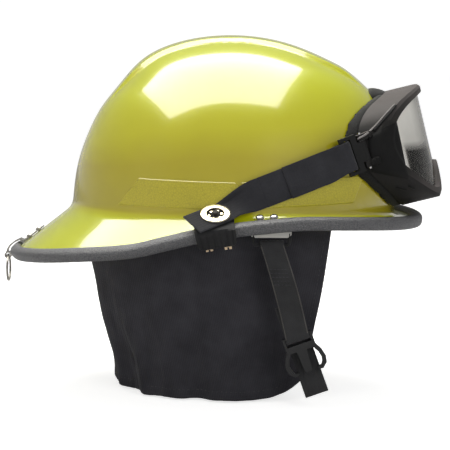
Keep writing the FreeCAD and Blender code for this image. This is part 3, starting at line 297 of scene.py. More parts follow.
def screw_point(x, side, n):
    """Point at height n on the axis of the screw near fore-aft position x."""
    return loc(chin_frame(side, x), SCREW_O, n)


REAR = frame(PI)
RIVET_O = (-25.0, -15.0)
def trim_section():
    pts = []
    d0 = math.radians(180 - 13.0)
    for i in range(15):
        a = d0 - 2 * d0 * i / 14
        c, s = math.cos(a), math.sin(a)
        pts.append((-0.8 + 5.2 * math.copysign(abs(c) ** 0.77, c),
                    TRIM_HALF * math.copysign(abs(s) ** 0.77, s)))
    return pts


PANELS = (((-93.6, 18.8), (-75.5, 40.6), (0.1, 38.4), (19.0, 16.8)),
          ((4.5, 38.4), (23.6, 18.4), (95.0, 19.8), (104.0, 41.5)))
def band_path(psi, off):
    """Headband curve: rear circle, front half-ellipse; psi from the front."""
    c, s = math.cos(psi), math.sin(psi)
    if c > 0:
        a, b = BAND_A, BAND_R
        p = (a * c, b * s)
        n = (b * c, a * s)
    else:
        p = (BAND_R * c, BAND_R * s)
        n = (c, s)
    l = math.hypot(*n)
    return (BAND_CX + p[0] + off * n[0] / l, p[1] + off * n[1] / l)


def band_lo(psi):
    return -10.0 + 12.0 * step(-abs(psi), -2.1, -0.8)


def band_hi(psi):
    return 16.0 + 18.0 * step(-abs(psi), -2.1, -0.8)


def lin(a, b, n):
    return [a + (b - a) * i / n for i in range(n + 1)]


ARM_END = math.radians(180 - 40)
STRAP_ANGLES = (36.0, 90.0, 144.0)
def band_at(angle, off):
    """Headband point in the plan direction angle (degrees) from the origin."""
    lo, hi = 0.0, PI
    target = math.radians(angle)
    for _ in range(50):
        m = 0.5 * (lo + hi)
        p = band_path(m, off)
        if math.atan2(p[1], p[0]) < target:
            lo = m
        else:
            hi = m
    return band_path(0.5 * (lo + hi), off), 0.5 * (lo + hi)


def crown_strap(k):
    ang = math.radians(STRAP_ANGLES[k])
    d = (math.cos(ang), math.sin(ang), 0.0)
    w = (-d[1], d[0], 0.0)
    top = 118.0 - 1.5 * k
    ends = []
    for a, sg in ((STRAP_ANGLES[k], 1), (180.0 - STRAP_ANGLES[k], -1)):
        p, psi = band_at(a, 3.4)
        r = math.hypot(*p)
        ends.append((r, max(band_hi(psi) - 15.0, band_lo(psi) + 21.5)))
    path = []
    for (r, z0), sg in ((ends[0], 1), (ends[1], -1)):
        half = [(sg * r, z0 + (36.0 - z0) * i / 4) for i in range(4)]
        for i in range(13):
            a = 0.5 * PI * i / 12
            half.append((sg * r * math.cos(a) ** 0.8, 36.0 + (top - 36.0) * math.sin(a) ** 0.8))
        path.append(half)
    pts = path[0] + path[1][::-1][1:]
    tan = []
    for a, sg in ((STRAP_ANGLES[k], 1), (180.0 - STRAP_ANGLES[k], -1)):
        t = band_tangent(a)
        t = (t[0], t[1], 0.0) if sg > 0 else (t[0], -t[1], 0.0)
        tan.append(t if dot(t, w) > 0 else (-t[0], -t[1], 0.0))
    g0, g1 = [], []
    for hw in (-9.5, 9.5):
        a, b = [], []
        for i, (r, z) in enumerate(pts):
            p0 = pts[max(i - 1, 0)]
            p1 = pts[min(i + 1, len(pts) - 1)]
            t = (p1[0] - p0[0], p1[1] - p0[1])
            l = math.hypot(*t)
            n = (t[1] / l, -t[0] / l)
            s_ = step(z, 40.0, top)
            e = tan[0] if r > 0 else tan[1]
            wi = unit(comb((e, w), (1 - s_, s_)))
            for lst, th in ((a, 0.6), (b, -0.6)):
                lst.append((d[0] * (r + n[0] * th) + wi[0] * hw, d[1] * (r + n[0] * th) + wi[1] * hw,
                            z + n[1] * th))
        g0.append(a)
        g1.append(b)
    return slab(g0, g1, 1)


def band_tangent(angle):
    _, psi = band_at(angle, 3.4)
    a, b = band_path(psi - 0.01, 3.4), band_path(psi + 0.01, 3.4)
    return unit((b[0] - a[0], b[1] - a[1], 0.0))


C_REAR = monotone([-141, -110, -82, -37, 0, 10, 22], [97.5, 102.0, 110.0, 119.5, 126.5, 128.0, 128.0])
C_SIDE = monotone([-141, -80, -30, 0, 10, 22], [92.0, 98.0, 104.0, 108.0, 108.3, 108.0])
C_FRONT = 130.0
def curtain_pt(th, z, off):
    c, s = math.cos(th), math.sin(th)
    w = step(c, -0.35, 0.35)
    a = C_REAR(z) * (1 - w) + C_FRONT * w
    b = C_SIDE(z)
    n = unit((b * c, a * s, 0.0))
    return (DOME_X + a * c + off * n[0], b * s + off * n[1], z)


BAR_Z = -10.0
BAR_Y = 119.0
CHIN_TOP = (29.0, -BAR_Y, BAR_Z)
BUCKLE_O = (49.0, -BAR_Y, -83.0)
CHIN_D = unit(sub(BUCKLE_O, CHIN_TOP))
CHIN_L = (-CHIN_D[2], 0.0, CHIN_D[0])
BUCKLE_D = unit((0.33, 0.0, -0.944))
BUCKLE_L = (-BUCKLE_D[2], 0.0, BUCKLE_D[0])
TUBE = add(add(REAR[0], REAR[1], 9.2), REAR[2], 1.4)
STUD_N = (0.0, -0.5, 0.8660)          # stud axis on the right side
STUD_E1 = (1.0, 0.0, 0.0)
STUD_E2 = (0.0, 0.8660, 0.5)          # inboard and up
STUD_O = (STUD_X, -STUD_Y, STUD_Z)
CLAMP_X = (-29.5, 0.5)
CLAMP_SCREW_X = (-22.6, -7.2)
def clamp_frame(x):
    return frame(theta_at(x, -1))


GO = (165.7, 0.0, 62.1)
GW = (-0.23688, 0.0, 0.97154)
GF = (0.97154, 0.0, 0.23688)
LENS_R = 99.0
OUTLINE = [(0, 52.5), (20, 52.2), (40, 50.6), (58, 47.3), (70, 42.3), (79, 34.8), (84, 25), (85.4, 12),
           (84.2, 0), (79.5, -10), (71, -20), (60.5, -29.5), (49, -37), (37.5, -41), (27.5, -39.5),
           (20, -32.5), (13, -23.5), (6.5, -16.8)]
def closed_curve(half, n):
    """Closed smooth curve, even steps, from a half outline mirrored in y."""
    pts = list(half) + [(0, -14.6)] + [(-y, w) for y, w in half[:0:-1]]
    m = len(pts)
    fine = []
    for i in range(m):
        p0, p1, p2, p3 = pts[i - 1], pts[i], pts[(i + 1) % m], pts[(i + 2) % m]
        for k in range(12):
            t = k / 12
            fine.append(tuple(0.5 * (2 * p1[a] + (p2[a] - p0[a]) * t
                                     + (2 * p0[a] - 5 * p1[a] + 4 * p2[a] - p3[a]) * t * t
                                     + (3 * p1[a] - p0[a] - 3 * p2[a] + p3[a]) * t ** 3) for a in (0, 1)))
    seg = [math.hypot(fine[(i + 1) % len(fine)][0] - fine[i][0],
                      fine[(i + 1) % len(fine)][1] - fine[i][1]) for i in range(len(fine))]
    total = sum(seg)
    out, i, acc = [], 0, 0.0
    for k in range(n):
        target = total * k / n
        while acc + seg[i] < target:
            acc += seg[i]
            i += 1
        t = (target - acc) / seg[i]
        a, b = fine[i], fine[(i + 1) % len(fine)]
        out.append((a[0] + (b[0] - a[0]) * t, a[1] + (b[1] - a[1]) * t))
    return out


def inset(curve, d):
    """Inward offset in small smoothed steps, so tight corners stay clean."""
    pts = list(curve)
    n = len(pts)
    steps = max(1, int(math.ceil(abs(d) / 1.0)))
    for _ in range(steps):
        new = []
        for i in range(n):
            a, b = pts[i - 1], pts[(i + 1) % n]
            t = (b[0] - a[0], b[1] - a[1])
            l = math.hypot(*t)
            nx, ny = t[1] / l, -t[0] / l
            new.append((pts[i][0] + nx * d / steps, pts[i][1] + ny * d / steps))
        pts = [(0.5 * p[0] + 0.25 * (new[i - 1][0] + new[(i + 1) % n][0]),
                0.5 * p[1] + 0.25 * (new[i - 1][1] + new[(i + 1) % n][1])) for i, p in enumerate(new)]
    return pts


def arc_f(y):
    return math.sqrt(LENS_R ** 2 - y * y) - LENS_R


def lens_back(y):
    return math.sqrt((LENS_R - 2.3) ** 2 - y * y) - LENS_R


def gp(y, w, f):
    return add(add((GO[0], y, GO[2]), GW, w), GF, f)


def back_f(y, w, off):
    lo, hi = -170.0, 20.0
    for _ in range(40):
        m = 0.5 * (lo + hi)
        if distance(gp(y, w, m)) < off:
            lo = m
        else:
            hi = m
    return 0.5 * (lo + hi)


NG = 72
RIM = closed_curve(OUTLINE, NG)
def orient(curve):
    a = sum(curve[i - 1][0] * curve[i][1] - curve[i][0] * curve[i - 1][1] for i in range(len(curve)))
    return curve if a < 0 else curve[::-1]


RIM = orient(RIM)          # clockwise seen from the front, so +d moves inward
def inward(d):
    """Inset whichever way round makes the loop smaller."""
    a = inset(RIM, d)
    b = inset(RIM, -d)
    area = lambda c: abs(sum(c[i - 1][0] * c[i][1] - c[i][0] * c[i - 1][1] for i in range(len(c))))
    return a if area(a) < area(b) else b


FOAM = 8.4
def opening_inset(d):
    """Curve a little inside the frame's lens opening."""
    c = inward(7.0)
    a, b = inset(c, d), inset(c, -d)
    area = lambda q: abs(sum(q[i - 1][0] * q[i][1] - q[i][0] * q[i - 1][1] for i in range(len(q))))
    return a if area(a) < area(b) else b


PIN = (103.5, 88.4, 62.0)
def clip_axes(side):
    """Clip frame: along the strap (rearward), outward, and the pin axis."""
    b = math.radians(20.2)
    u = unit((-math.cos(b), side * 0.36, -math.sin(b)))
    w = unit(sub(GW, tuple(dot(GW, u) * k for k in u)))
    n = cross(u, w)
    if n[1] * side < 0:
        n = (-n[0], -n[1], -n[2])
    return u, n, w


def clip_point(side, u, n, w):
    a = clip_axes(side)
    p = (PIN[0], side * PIN[1], PIN[2])
    return add(add(add(p, a[0], u), a[1], n), a[2], w)


STRAP_SLOPE = 0.368
STRAP_ANG = math.atan(STRAP_SLOPE)
LEAVE_X = 58.0           # the strap leaves the dome here and runs straight
def strap_point(x, h, side, off):
    """Point on the strap: x along its middle, h across it."""
    z = 29.9 + STRAP_SLOPE * (x - 19.7)
    px, pz = x - math.sin(STRAP_ANG) * h, z + math.cos(STRAP_ANG) * h
    if x <= LEAVE_X:
        return on_dome(px, pz, side, off)
    a = strap_point(LEAVE_X - 2.0, h, side, off)
    b = strap_point(LEAVE_X, h, side, off)
    return add(b, sub(b, a), (x - LEAVE_X) / 2.0)


S = 0.001


# ------------------------------------------------------------ small helpers
def mesh_obj(name, verts, faces, smooth=True):
    me = bpy.data.meshes.new(name)
    me.from_pydata([(p[0] * S, p[1] * S, p[2] * S) for p in verts], [], faces)
    me.validate()
    me.update()
    bm = bmesh.new()
    bm.from_mesh(me)
    bmesh.ops.recalc_face_normals(bm, faces=bm.faces)
    bm.to_mesh(me)
    bm.free()
    if smooth:
        for p in me.polygons:
            p.use_smooth = True
    ob = bpy.data.objects.new(name, me)
    bpy.context.scene.collection.objects.link(ob)
    return ob


def autosmooth(ob, deg=38.0):
    """Sharp edges above the angle, smooth shading elsewhere."""
    me = ob.data
    bm = bmesh.new()
    bm.from_mesh(me)
    lim = math.radians(deg)
    for e in bm.edges:
        e.smooth = len(e.link_faces) == 2 and e.calc_face_angle(0.0) < lim
    bm.to_mesh(me)
    bm.free()
    for p in me.polygons:
        p.use_smooth = True
    return ob


def grid_faces(nr, nc, closed=False, base=0):
    fs = []
    for i in range(nr - 1):
        for j in range(nc if closed else nc - 1):
            a, b = base + i * nc + j, base + i * nc + (j + 1) % nc
            fs.append((a, b, b + nc, a + nc))
    return fs


def sheet_solid(g0, g1, closed=False):
    """Closed solid between two grids of the same size."""
    nr, nc = len(g0), len(g0[0])
    v = [p for r in g0 for p in r] + [p for r in g1 for p in r]
    k = nr * nc
    f = grid_faces(nr, nc, closed) + [q[::-1] for q in grid_faces(nr, nc, closed, k)]
    for j in range(nc if closed else nc - 1):
        a, b = j, (j + 1) % nc
        f.append((b, a, a + k, b + k))
        a, b = (nr - 1) * nc + j, (nr - 1) * nc + (j + 1) % nc
        f.append((a, b, b + k, a + k))
    if not closed:
        for i in range(nr - 1):
            a, b = i * nc, (i + 1) * nc
            f.append((a, b, b + k, a + k))
            a, b = i * nc + nc - 1, (i + 1) * nc + nc - 1
            f.append((b, a, a + k, b + k))
    return v, f


def section_strip(path, frames, section, closed_path=False):
    """Sweep a closed 2-D section along stations; frames give the two axes."""
    v, n = [], len(section)
    for p, (ex, ey) in zip(path, frames):
        for a, b in section:
            v.append(add(add(p, ex, a), ey, b))
    m = len(path)
    f = []
    for i in range(m if closed_path else m - 1):
        for j in range(n):
            a, b = i * n + j, i * n + (j + 1) % n
            c, d = ((i + 1) % m) * n + (j + 1) % n, ((i + 1) % m) * n + j
            f.append((a, b, c, d))
    if not closed_path:
        f.append(tuple(range(n))[::-1])
        f.append(tuple((m - 1) * n + j for j in range(n)))
    return v, f


def strap_section(w, t, ribs=0, depth=0.15, n=None, round_=0.5):
    """Flat webbing section w wide, t thick, with rounded edges and fine ribs."""
    hw, ht = w / 2, t / 2
    n = n or (ribs * 4 if ribs else 10)
    top = []
    for i in range(n + 1):
        x = -hw + ht * round_ + (w - t * round_) * i / n
        z = ht - (depth * 0.5 * (1 + math.cos(2 * PI * ribs * i / n)) if ribs else 0)
        top.append((x, z))
    side = [(hw, ht * 0.4), (hw, -ht * 0.4)]
    bot = [(x, -z) for x, z in top[::-1]]
    return top + side + bot + [(-hw, -ht * 0.4), (-hw, ht * 0.4)]


def noise(p, k):
    return mnoise.noise(Vector((p[0] * k, p[1] * k, p[2] * k)))


# ---------------------------------------------------------------- materials
def base_mat(name, color, rough=0.5, metal=0.0, coat=0.0, spec=0.5, sheen=0.0):
    m = bpy.data.materials.new(name)
    m.use_nodes = True
    nt = m.node_tree
    b = nt.nodes["Principled BSDF"]
    b.inputs["Base Color"].default_value = (color[0], color[1], color[2], 1)
    b.inputs["Roughness"].default_value = rough
    b.inputs["Metallic"].default_value = metal
    b.inputs["Coat Weight"].default_value = coat
    b.inputs["Coat Roughness"].default_value = 0.06
    b.inputs["Specular IOR Level"].default_value = spec
    b.inputs["Sheen Weight"].default_value = sheen
    b.inputs["Sheen Roughness"].default_value = 0.4
    return m, nt, b


def coords(nt, scale=(1, 1, 1), rot=(0, 0, 0)):
    t = nt.nodes.new("ShaderNodeTexCoord")
    mp = nt.nodes.new("ShaderNodeMapping")
    mp.inputs["Scale"].default_value = scale
    mp.inputs["Rotation"].default_value = rot
    nt.links.new(t.outputs["Object"], mp.inputs["Vector"])
    return mp.outputs["Vector"]


def noise_tex(nt, vec, scale, detail=3.0, rough=0.55):
    n = nt.nodes.new("ShaderNodeTexNoise")
    n.inputs["Scale"].default_value = scale
    n.inputs["Detail"].default_value = detail
    n.inputs["Roughness"].default_value = rough
    nt.links.new(vec, n.inputs["Vector"])
    return n.outputs["Fac"]


def voronoi(nt, vec, scale, feature="F1"):
    n = nt.nodes.new("ShaderNodeTexVoronoi")
    n.feature = feature
    n.inputs["Scale"].default_value = scale
    nt.links.new(vec, n.inputs["Vector"])
    return n.outputs["Distance"]


def wave(nt, vec, scale, axis="X", distortion=0.0, profile="SIN"):
    n = nt.nodes.new("ShaderNodeTexWave")
    n.wave_type = "BANDS"
    n.bands_direction = axis
    n.wave_profile = profile
    n.inputs["Scale"].default_value = scale
    n.inputs["Distortion"].default_value = distortion
    nt.links.new(vec, n.inputs["Vector"])
    return n.outputs["Fac"]


def math_node(nt, op, a, b):
    n = nt.nodes.new("ShaderNodeMath")
    n.operation = op
    for i, v in enumerate((a, b)):
        if isinstance(v, (int, float)):
            n.inputs[i].default_value = v
        else:
            nt.links.new(v, n.inputs[i])
    return n.outputs[0]


def ramp(nt, fac, stops):
    n = nt.nodes.new("ShaderNodeValToRGB")
    cr = n.color_ramp
    while len(cr.elements) < len(stops):
        cr.elements.new(0.5)
    for e, (p, c) in zip(cr.elements, stops):
        e.position = p
        e.color = c if len(c) == 4 else (c[0], c[1], c[2], 1)
    nt.links.new(fac, n.inputs["Fac"])
    return n.outputs["Color"]


def bump(nt, b, height, strength=0.3, dist=0.0005, prev=None):
    n = nt.nodes.new("ShaderNodeBump")
    n.inputs["Strength"].default_value = strength
    n.inputs["Distance"].default_value = dist
    nt.links.new(height, n.inputs["Height"])
    if prev is not None:
        nt.links.new(prev, n.inputs["Normal"])
    nt.links.new(n.outputs["Normal"], b.inputs["Normal"])
    return n.outputs["Normal"]


def rough_var(nt, b, fac, lo, hi):
    m = nt.nodes.new("ShaderNodeMapRange")
    m.inputs["To Min"].default_value = lo
    m.inputs["To Max"].default_value = hi
    nt.links.new(fac, m.inputs["Value"])
    nt.links.new(m.outputs["Result"], b.inputs["Roughness"])


def mat_shell():
    m, nt, b = base_mat("shell_lime_gloss", (0.62, 0.68, 0.012), 0.2, coat=0.9, spec=0.55)
    v = coords(nt)
    big = noise_tex(nt, v, 14, 3)
    geo = nt.nodes.new("ShaderNodeNewGeometry")
    sx = nt.nodes.new("ShaderNodeSeparateXYZ")
    nt.links.new(geo.outputs["Normal"], sx.inputs[0])
    # painted light: the base colour runs from dark olive on faces that look down to bright lime on faces that look up,
    # as the overhead light would make it; the noise adds random tone
    up = math_node(nt, "ADD", sx.outputs["Z"], math_node(nt, "MULTIPLY", math_node(nt, "SUBTRACT", big, 0.5), 0.10))
    col = ramp(nt, up, [(0.05, (0.46, 0.385, 0.016)), (0.22, (0.50, 0.425, 0.016)), (0.36, (0.64, 0.605, 0.015)),
                        (0.60, (0.72, 0.74, 0.011)), (0.85, (0.73, 0.79, 0.010))])
    nt.links.new(col, b.inputs["Base Color"])
    fine = noise_tex(nt, v, 900, 2)
    rough_var(nt, b, noise_tex(nt, v, 60, 4), 0.16, 0.27)
    n1 = bump(nt, b, fine, 0.05, 0.00004)
    bump(nt, b, noise_tex(nt, v, 22, 1.0), 0.10, 0.0006, n1)
    return m


def mat_trim():
    m, nt, b = base_mat("trim_pebble_rubber", (0.085, 0.088, 0.092), 0.5, spec=0.8)
    v = coords(nt)
    cell = voronoi(nt, v, 1100)
    col = ramp(nt, cell, [(0.0, (0.150, 0.148, 0.155)), (0.7, (0.050, 0.051, 0.055))])
    nt.links.new(col, b.inputs["Base Color"])
    rough_var(nt, b, noise_tex(nt, v, 300, 3), 0.42, 0.62)
    n1 = bump(nt, b, math_node(nt, "MULTIPLY", cell, -1.0), 0.75, 0.0005)
    bump(nt, b, noise_tex(nt, v, 240, 3), 0.25, 0.0004, n1)
    return m


def mat_panel():
    m, nt, b = base_mat("reflective_lime_tape", (0.66, 0.72, 0.03), 0.3, coat=0.35, spec=0.6)
    v = coords(nt, (1, 1, 1))
    cell = voronoi(nt, v, 520, "DISTANCE_TO_EDGE")
    col = ramp(nt, cell, [(0.0, (0.40, 0.34, 0.02)), (0.10, (0.52, 0.45, 0.025)), (1.0, (0.56, 0.49, 0.035))])
    nt.links.new(col, b.inputs["Base Color"])
    rough_var(nt, b, noise_tex(nt, v, 500, 3), 0.24, 0.42)
    bump(nt, b, cell, 0.12, 0.00012)
    return m


def mat_fabric(name, color, scale=1500.0, rough=0.85, depth=0.5, sheen=0.25, twill=False, mott=0.35):
    m, nt, b = base_mat(name, color, rough, spec=0.10, sheen=sheen)
    v = coords(nt)
    if twill:
        w1 = wave(nt, coords(nt, (1, 1, 1), (0, 0.75, 0.0)), scale * 0.35, "X")
        w2 = wave(nt, coords(nt, (1, 1, 1), (0, -0.5, 0.3)), scale * 0.30, "Z")
    else:
        w1 = wave(nt, v, scale * 0.32, "X")
        w2 = wave(nt, v, scale * 0.32, "Z")
    h = math_node(nt, "MULTIPLY", w1, w2)
    big = noise_tex(nt, v, 45, 4)
    c0 = tuple(c * (1 - mott) for c in color)
    c1 = tuple(min(1, c * (1 + mott)) for c in color)
    col = ramp(nt, math_node(nt, "ADD", math_node(nt, "MULTIPLY", h, 0.35),
                             math_node(nt, "MULTIPLY", big, 0.65)), [(0.25, c0), (0.75, c1)])
    nt.links.new(col, b.inputs["Base Color"])
    n1 = bump(nt, b, h, depth, 0.00025)
    bump(nt, b, noise_tex(nt, v, 2200, 2), 0.25, 0.0001, n1)
    return m


def mat_plastic(name, color, rough=0.42, grain=900, strength=0.18, coat=0.0, mott=0.12, spec=0.45):
    m, nt, b = base_mat(name, color, rough, coat=coat, spec=spec)
    v = coords(nt)
    big = noise_tex(nt, v, 35, 4)
    c0 = tuple(c * (1 - mott) for c in color)
    c1 = tuple(min(1, c * (1 + mott)) for c in color)
    nt.links.new(ramp(nt, big, [(0.3, c0), (0.7, c1)]), b.inputs["Base Color"])
    rough_var(nt, b, noise_tex(nt, v, 120, 3), rough * 0.8, min(1, rough * 1.25))
    bump(nt, b, noise_tex(nt, v, grain, 3), strength, 0.00015)
    return m


def mat_metal(name, color, rough=0.22, brushed=0.25):
    m, nt, b = base_mat(name, color, rough, metal=1.0)
    v = coords(nt)
    sc = noise_tex(nt, coords(nt, (1, 1, 14)), 350, 3)
    rough_var(nt, b, sc, rough * 0.65, min(1, rough * 1.6))
    c0 = tuple(c * 0.86 for c in color)
    nt.links.new(ramp(nt, noise_tex(nt, v, 260, 4), [(0.35, c0), (0.65, color)]), b.inputs["Base Color"])
    bump(nt, b, sc, brushed, 0.00004)
    return m


def mat_foam(name, color, scale=900):
    m, nt, b = base_mat(name, color, 0.9, spec=0.2, sheen=0.1)
    v = coords(nt)
    c = voronoi(nt, v, scale)
    nt.links.new(ramp(nt, c, [(0.0, tuple(k * 1.35 for k in color)), (0.8, tuple(k * 0.6 for k in color))]),
                 b.inputs["Base Color"])
    bump(nt, b, c, 0.4, 0.0003)
    return m


def mat_lens():
    m = bpy.data.materials.new("lens_clear_smudged_painted_sheen")
    m.use_nodes = True
    nt = m.node_tree
    nt.nodes.clear()
    out = nt.nodes.new("ShaderNodeOutputMaterial")
    tr = nt.nodes.new("ShaderNodeBsdfTransparent")
    tr.inputs["Color"].default_value = (0.985, 0.98, 0.965, 1)
    gl = nt.nodes.new("ShaderNodeBsdfGlossy")
    gl.inputs["Roughness"].default_value = 0.05
    gl.inputs["Color"].default_value = (1, 0.99, 0.97, 1)
    df = nt.nodes.new("ShaderNodeBsdfDiffuse")
    df.inputs["Color"].default_value = (0.9, 0.88, 0.82, 1)
    fr = nt.nodes.new("ShaderNodeFresnel")
    fr.inputs["IOR"].default_value = 1.25
    mx = nt.nodes.new("ShaderNodeMixShader")
    my = nt.nodes.new("ShaderNodeMixShader")
    v = coords(nt)
    sm = ramp(nt, noise_tex(nt, v, 38, 5), [(0.45, (0.015, 0.015, 0.015)), (0.8, (0.07, 0.07, 0.07))])
    sx = nt.nodes.new("ShaderNodeSeparateXYZ")
    nt.links.new(v, sx.inputs[0])
    # painted reflection: a pale sky sheen painted as diffuse colour on the upper half of the curved lens
    up = math_node(nt, "MULTIPLY", math_node(nt, "SUBTRACT", sx.outputs["Z"], 0.0600), 28.0)
    hz = ramp(nt, up, [(0.0, (0.0, 0.0, 0.0)), (0.22, (0.60, 0.60, 0.60)), (0.9, (0.76, 0.76, 0.76))])
    # and only where the lens wraps round to the sides
    ge = nt.nodes.new("ShaderNodeNewGeometry")
    sn = nt.nodes.new("ShaderNodeSeparateXYZ")
    nt.links.new(ge.outputs["Normal"], sn.inputs[0])
    wr = ramp(nt, math_node(nt, "ABSOLUTE", sn.outputs["Y"], 0.0), [(0.16, (0.05, 0.05, 0.05)), (0.52, (1.0, 1.0, 1.0))])
    nt.links.new(math_node(nt, "ADD", sm, math_node(nt, "MULTIPLY", hz, wr)), my.inputs["Fac"])
    nt.links.new(tr.outputs[0], my.inputs[1])
    nt.links.new(df.outputs[0], my.inputs[2])
    nt.links.new(fr.outputs["Fac"], mx.inputs["Fac"])
    nt.links.new(my.outputs[0], mx.inputs[1])
    nt.links.new(gl.outputs[0], mx.inputs[2])
    nt.links.new(mx.outputs[0], out.inputs["Surface"])
    return m


def mat_goggle():
    """Satin moulding with painted light: lighter on the faces that look up and on those that face forward."""
    m, nt, b = base_mat("goggle_frame_satin", (0.02, 0.02, 0.02), 0.5, spec=0.14)
    v = coords(nt)
    geo = nt.nodes.new("ShaderNodeNewGeometry")
    sx = nt.nodes.new("ShaderNodeSeparateXYZ")
    nt.links.new(geo.outputs["Normal"], sx.inputs[0])
    # painted light: colour rises with how far the face looks up, plus a share for faces looking forward, with random
    # noise
    f = math_node(nt, "ADD", sx.outputs["Z"], math_node(nt, "MULTIPLY", math_node(nt, "SUBTRACT", noise_tex(nt, v, 60, 4), 0.5), 0.25))
    f = math_node(nt, "ADD", f, math_node(nt, "MULTIPLY", math_node(nt, "MAXIMUM", sx.outputs["X"], 0.0), 0.65))
    col = ramp(nt, f, [(0.0, (0.016, 0.015, 0.015)), (0.55, (0.020, 0.019, 0.018)), (0.80, (0.070, 0.062, 0.060)),
                       (1.0, (0.085, 0.076, 0.074))])
    nt.links.new(col, b.inputs["Base Color"])
    rough_var(nt, b, noise_tex(nt, v, 120, 3), 0.52, 0.70)
    bump(nt, b, noise_tex(nt, v, 800, 3), 0.15, 0.00015)
    return m


MATS = {
    "shell_lime": mat_shell(),
    "trim_rubber": mat_trim(),
    "reflective_lime": mat_panel(),
    "foam_liner": mat_foam("foam_liner_bead", (0.05, 0.05, 0.052), 420),
    "suspension_plastic": mat_plastic("suspension_nylon", (0.045, 0.045, 0.048), 0.45),
    "brow_leather": mat_plastic("brow_leather_grain", (0.060, 0.048, 0.040), 0.6, 420, 0.5),
    "suspension_webbing": mat_fabric("suspension_web", (0.035, 0.035, 0.038), 2200),
    "pad_fabric": mat_fabric("pad_knit", (0.045, 0.045, 0.05), 1700, sheen=0.4),
    "knob_plastic": mat_plastic("knob_ribbed", (0.035, 0.035, 0.036), 0.38),
    "curtain_fabric": mat_fabric("curtain_twill", (0.044, 0.043, 0.050), 1500, 0.9, 0.55, 0.10, True, 0.35),
    "lining_fabric": mat_fabric("lining_brushed", (0.035, 0.035, 0.038), 1300, 0.95, 0.3, 0.4),
    "hook_tape": mat_fabric("hook_tape_pile", (0.02, 0.02, 0.02), 2600, 0.95, 0.8, 0.2),
    "plate_grey": mat_plastic("plate_grey_moulded", (0.52, 0.51, 0.48), 0.38, 700, 0.1),
    "screw_chrome": mat_metal("screw_chrome_plate", (0.74, 0.73, 0.72), 0.20),
    "webbing_black": mat_fabric("webbing_polyester", (0.046, 0.046, 0.048), 2600, 0.7, 0.7, 0.15),
    "buckle_plastic": mat_plastic("buckle_acetal", (0.010, 0.010, 0.011), 0.34, 600, 0.12),
    "ring_steel": mat_metal("ring_plated", (0.44, 0.42, 0.38), 0.26),
    "clamp_plastic": mat_plastic("clamp_nylon", (0.022, 0.022, 0.023), 0.55, 500, 0.2, spec=0.12),
    "screw_brass": mat_metal("screw_brass_worn", (0.88, 0.68, 0.46), 0.32),
    "strap_elastic": mat_fabric("strap_elastic_weave", (0.038, 0.038, 0.044), 1900, 0.8, 0.6, 0.2),
    "grommet_brass": mat_metal("grommet_bright", (0.93, 0.85, 0.66), 0.20, 0.15),
    "stud_metal": mat_plastic("stud_blackened_and_recess_shade", (0.030, 0.027, 0.024), 0.5, 600, 0.1, spec=0.15),
    "cup_dark": mat_plastic("cup_shadowed", (0.030, 0.026, 0.020), 0.8, 600, 0.1, spec=0.05),
    "goggle_panel": mat_plastic("goggle_panel_black", (0.010, 0.010, 0.010), 0.55, 700, 0.2, spec=0.10),
    "selvedge": mat_fabric("selvedge_thread", (0.10, 0.095, 0.09), 2600, 0.8, 0.6, 0.1),
    "goggle_edge": mat_plastic("goggle_edge_light_grey", (0.20, 0.185, 0.18), 0.5, 700, 0.2, spec=0.25),
    "goggle_rubber": mat_goggle(),
    "lens_clear": mat_lens(),
    "goggle_foam": mat_foam("goggle_foam_cloth", (0.018, 0.018, 0.018), 1200),
    "clip_plastic": mat_plastic("clip_moulded", (0.016, 0.016, 0.016), 0.5, spec=0.12),
}


def put(ob, slot, body, nodes=(), mat=None):
    ob.data.materials.clear()
    ob.data.materials.append(mat or MATS[slot])
    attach(ob, body)
    if nodes:
        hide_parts(*nodes)
    return ob


# every carried-over CAD node takes the procedural finish of its slot
SLOT_OF = {s["node"]: s["material_slot"] for s in frame_["record"]["subparts"]}
for _n, _o in frame_["nodes"].items():
    m = MATS[SLOT_OF[_n]]
    if _o.material_slots:
        for sl in _o.material_slots:
            sl.link = "OBJECT"
            sl.material = m
    else:
        _o.data.materials.append(m)


# -------------------------------------------------------------- outer shell
def smooth01(x):
    x = max(0.0, min(1.0, x))
    return x * x * (3 - 2 * x)


def band_height(p):
    """Height of the crown band above the dome at a dome point."""
    w = smooth01((BAND_HALF + 1.6 - abs(p[1])) / 3.2)
    x = p[0]
    f = smooth01((x + 108.0) / 26.0) * smooth01((112.0 - x) / 26.0)
    return (BAND_RISE + 0.25) * w * f


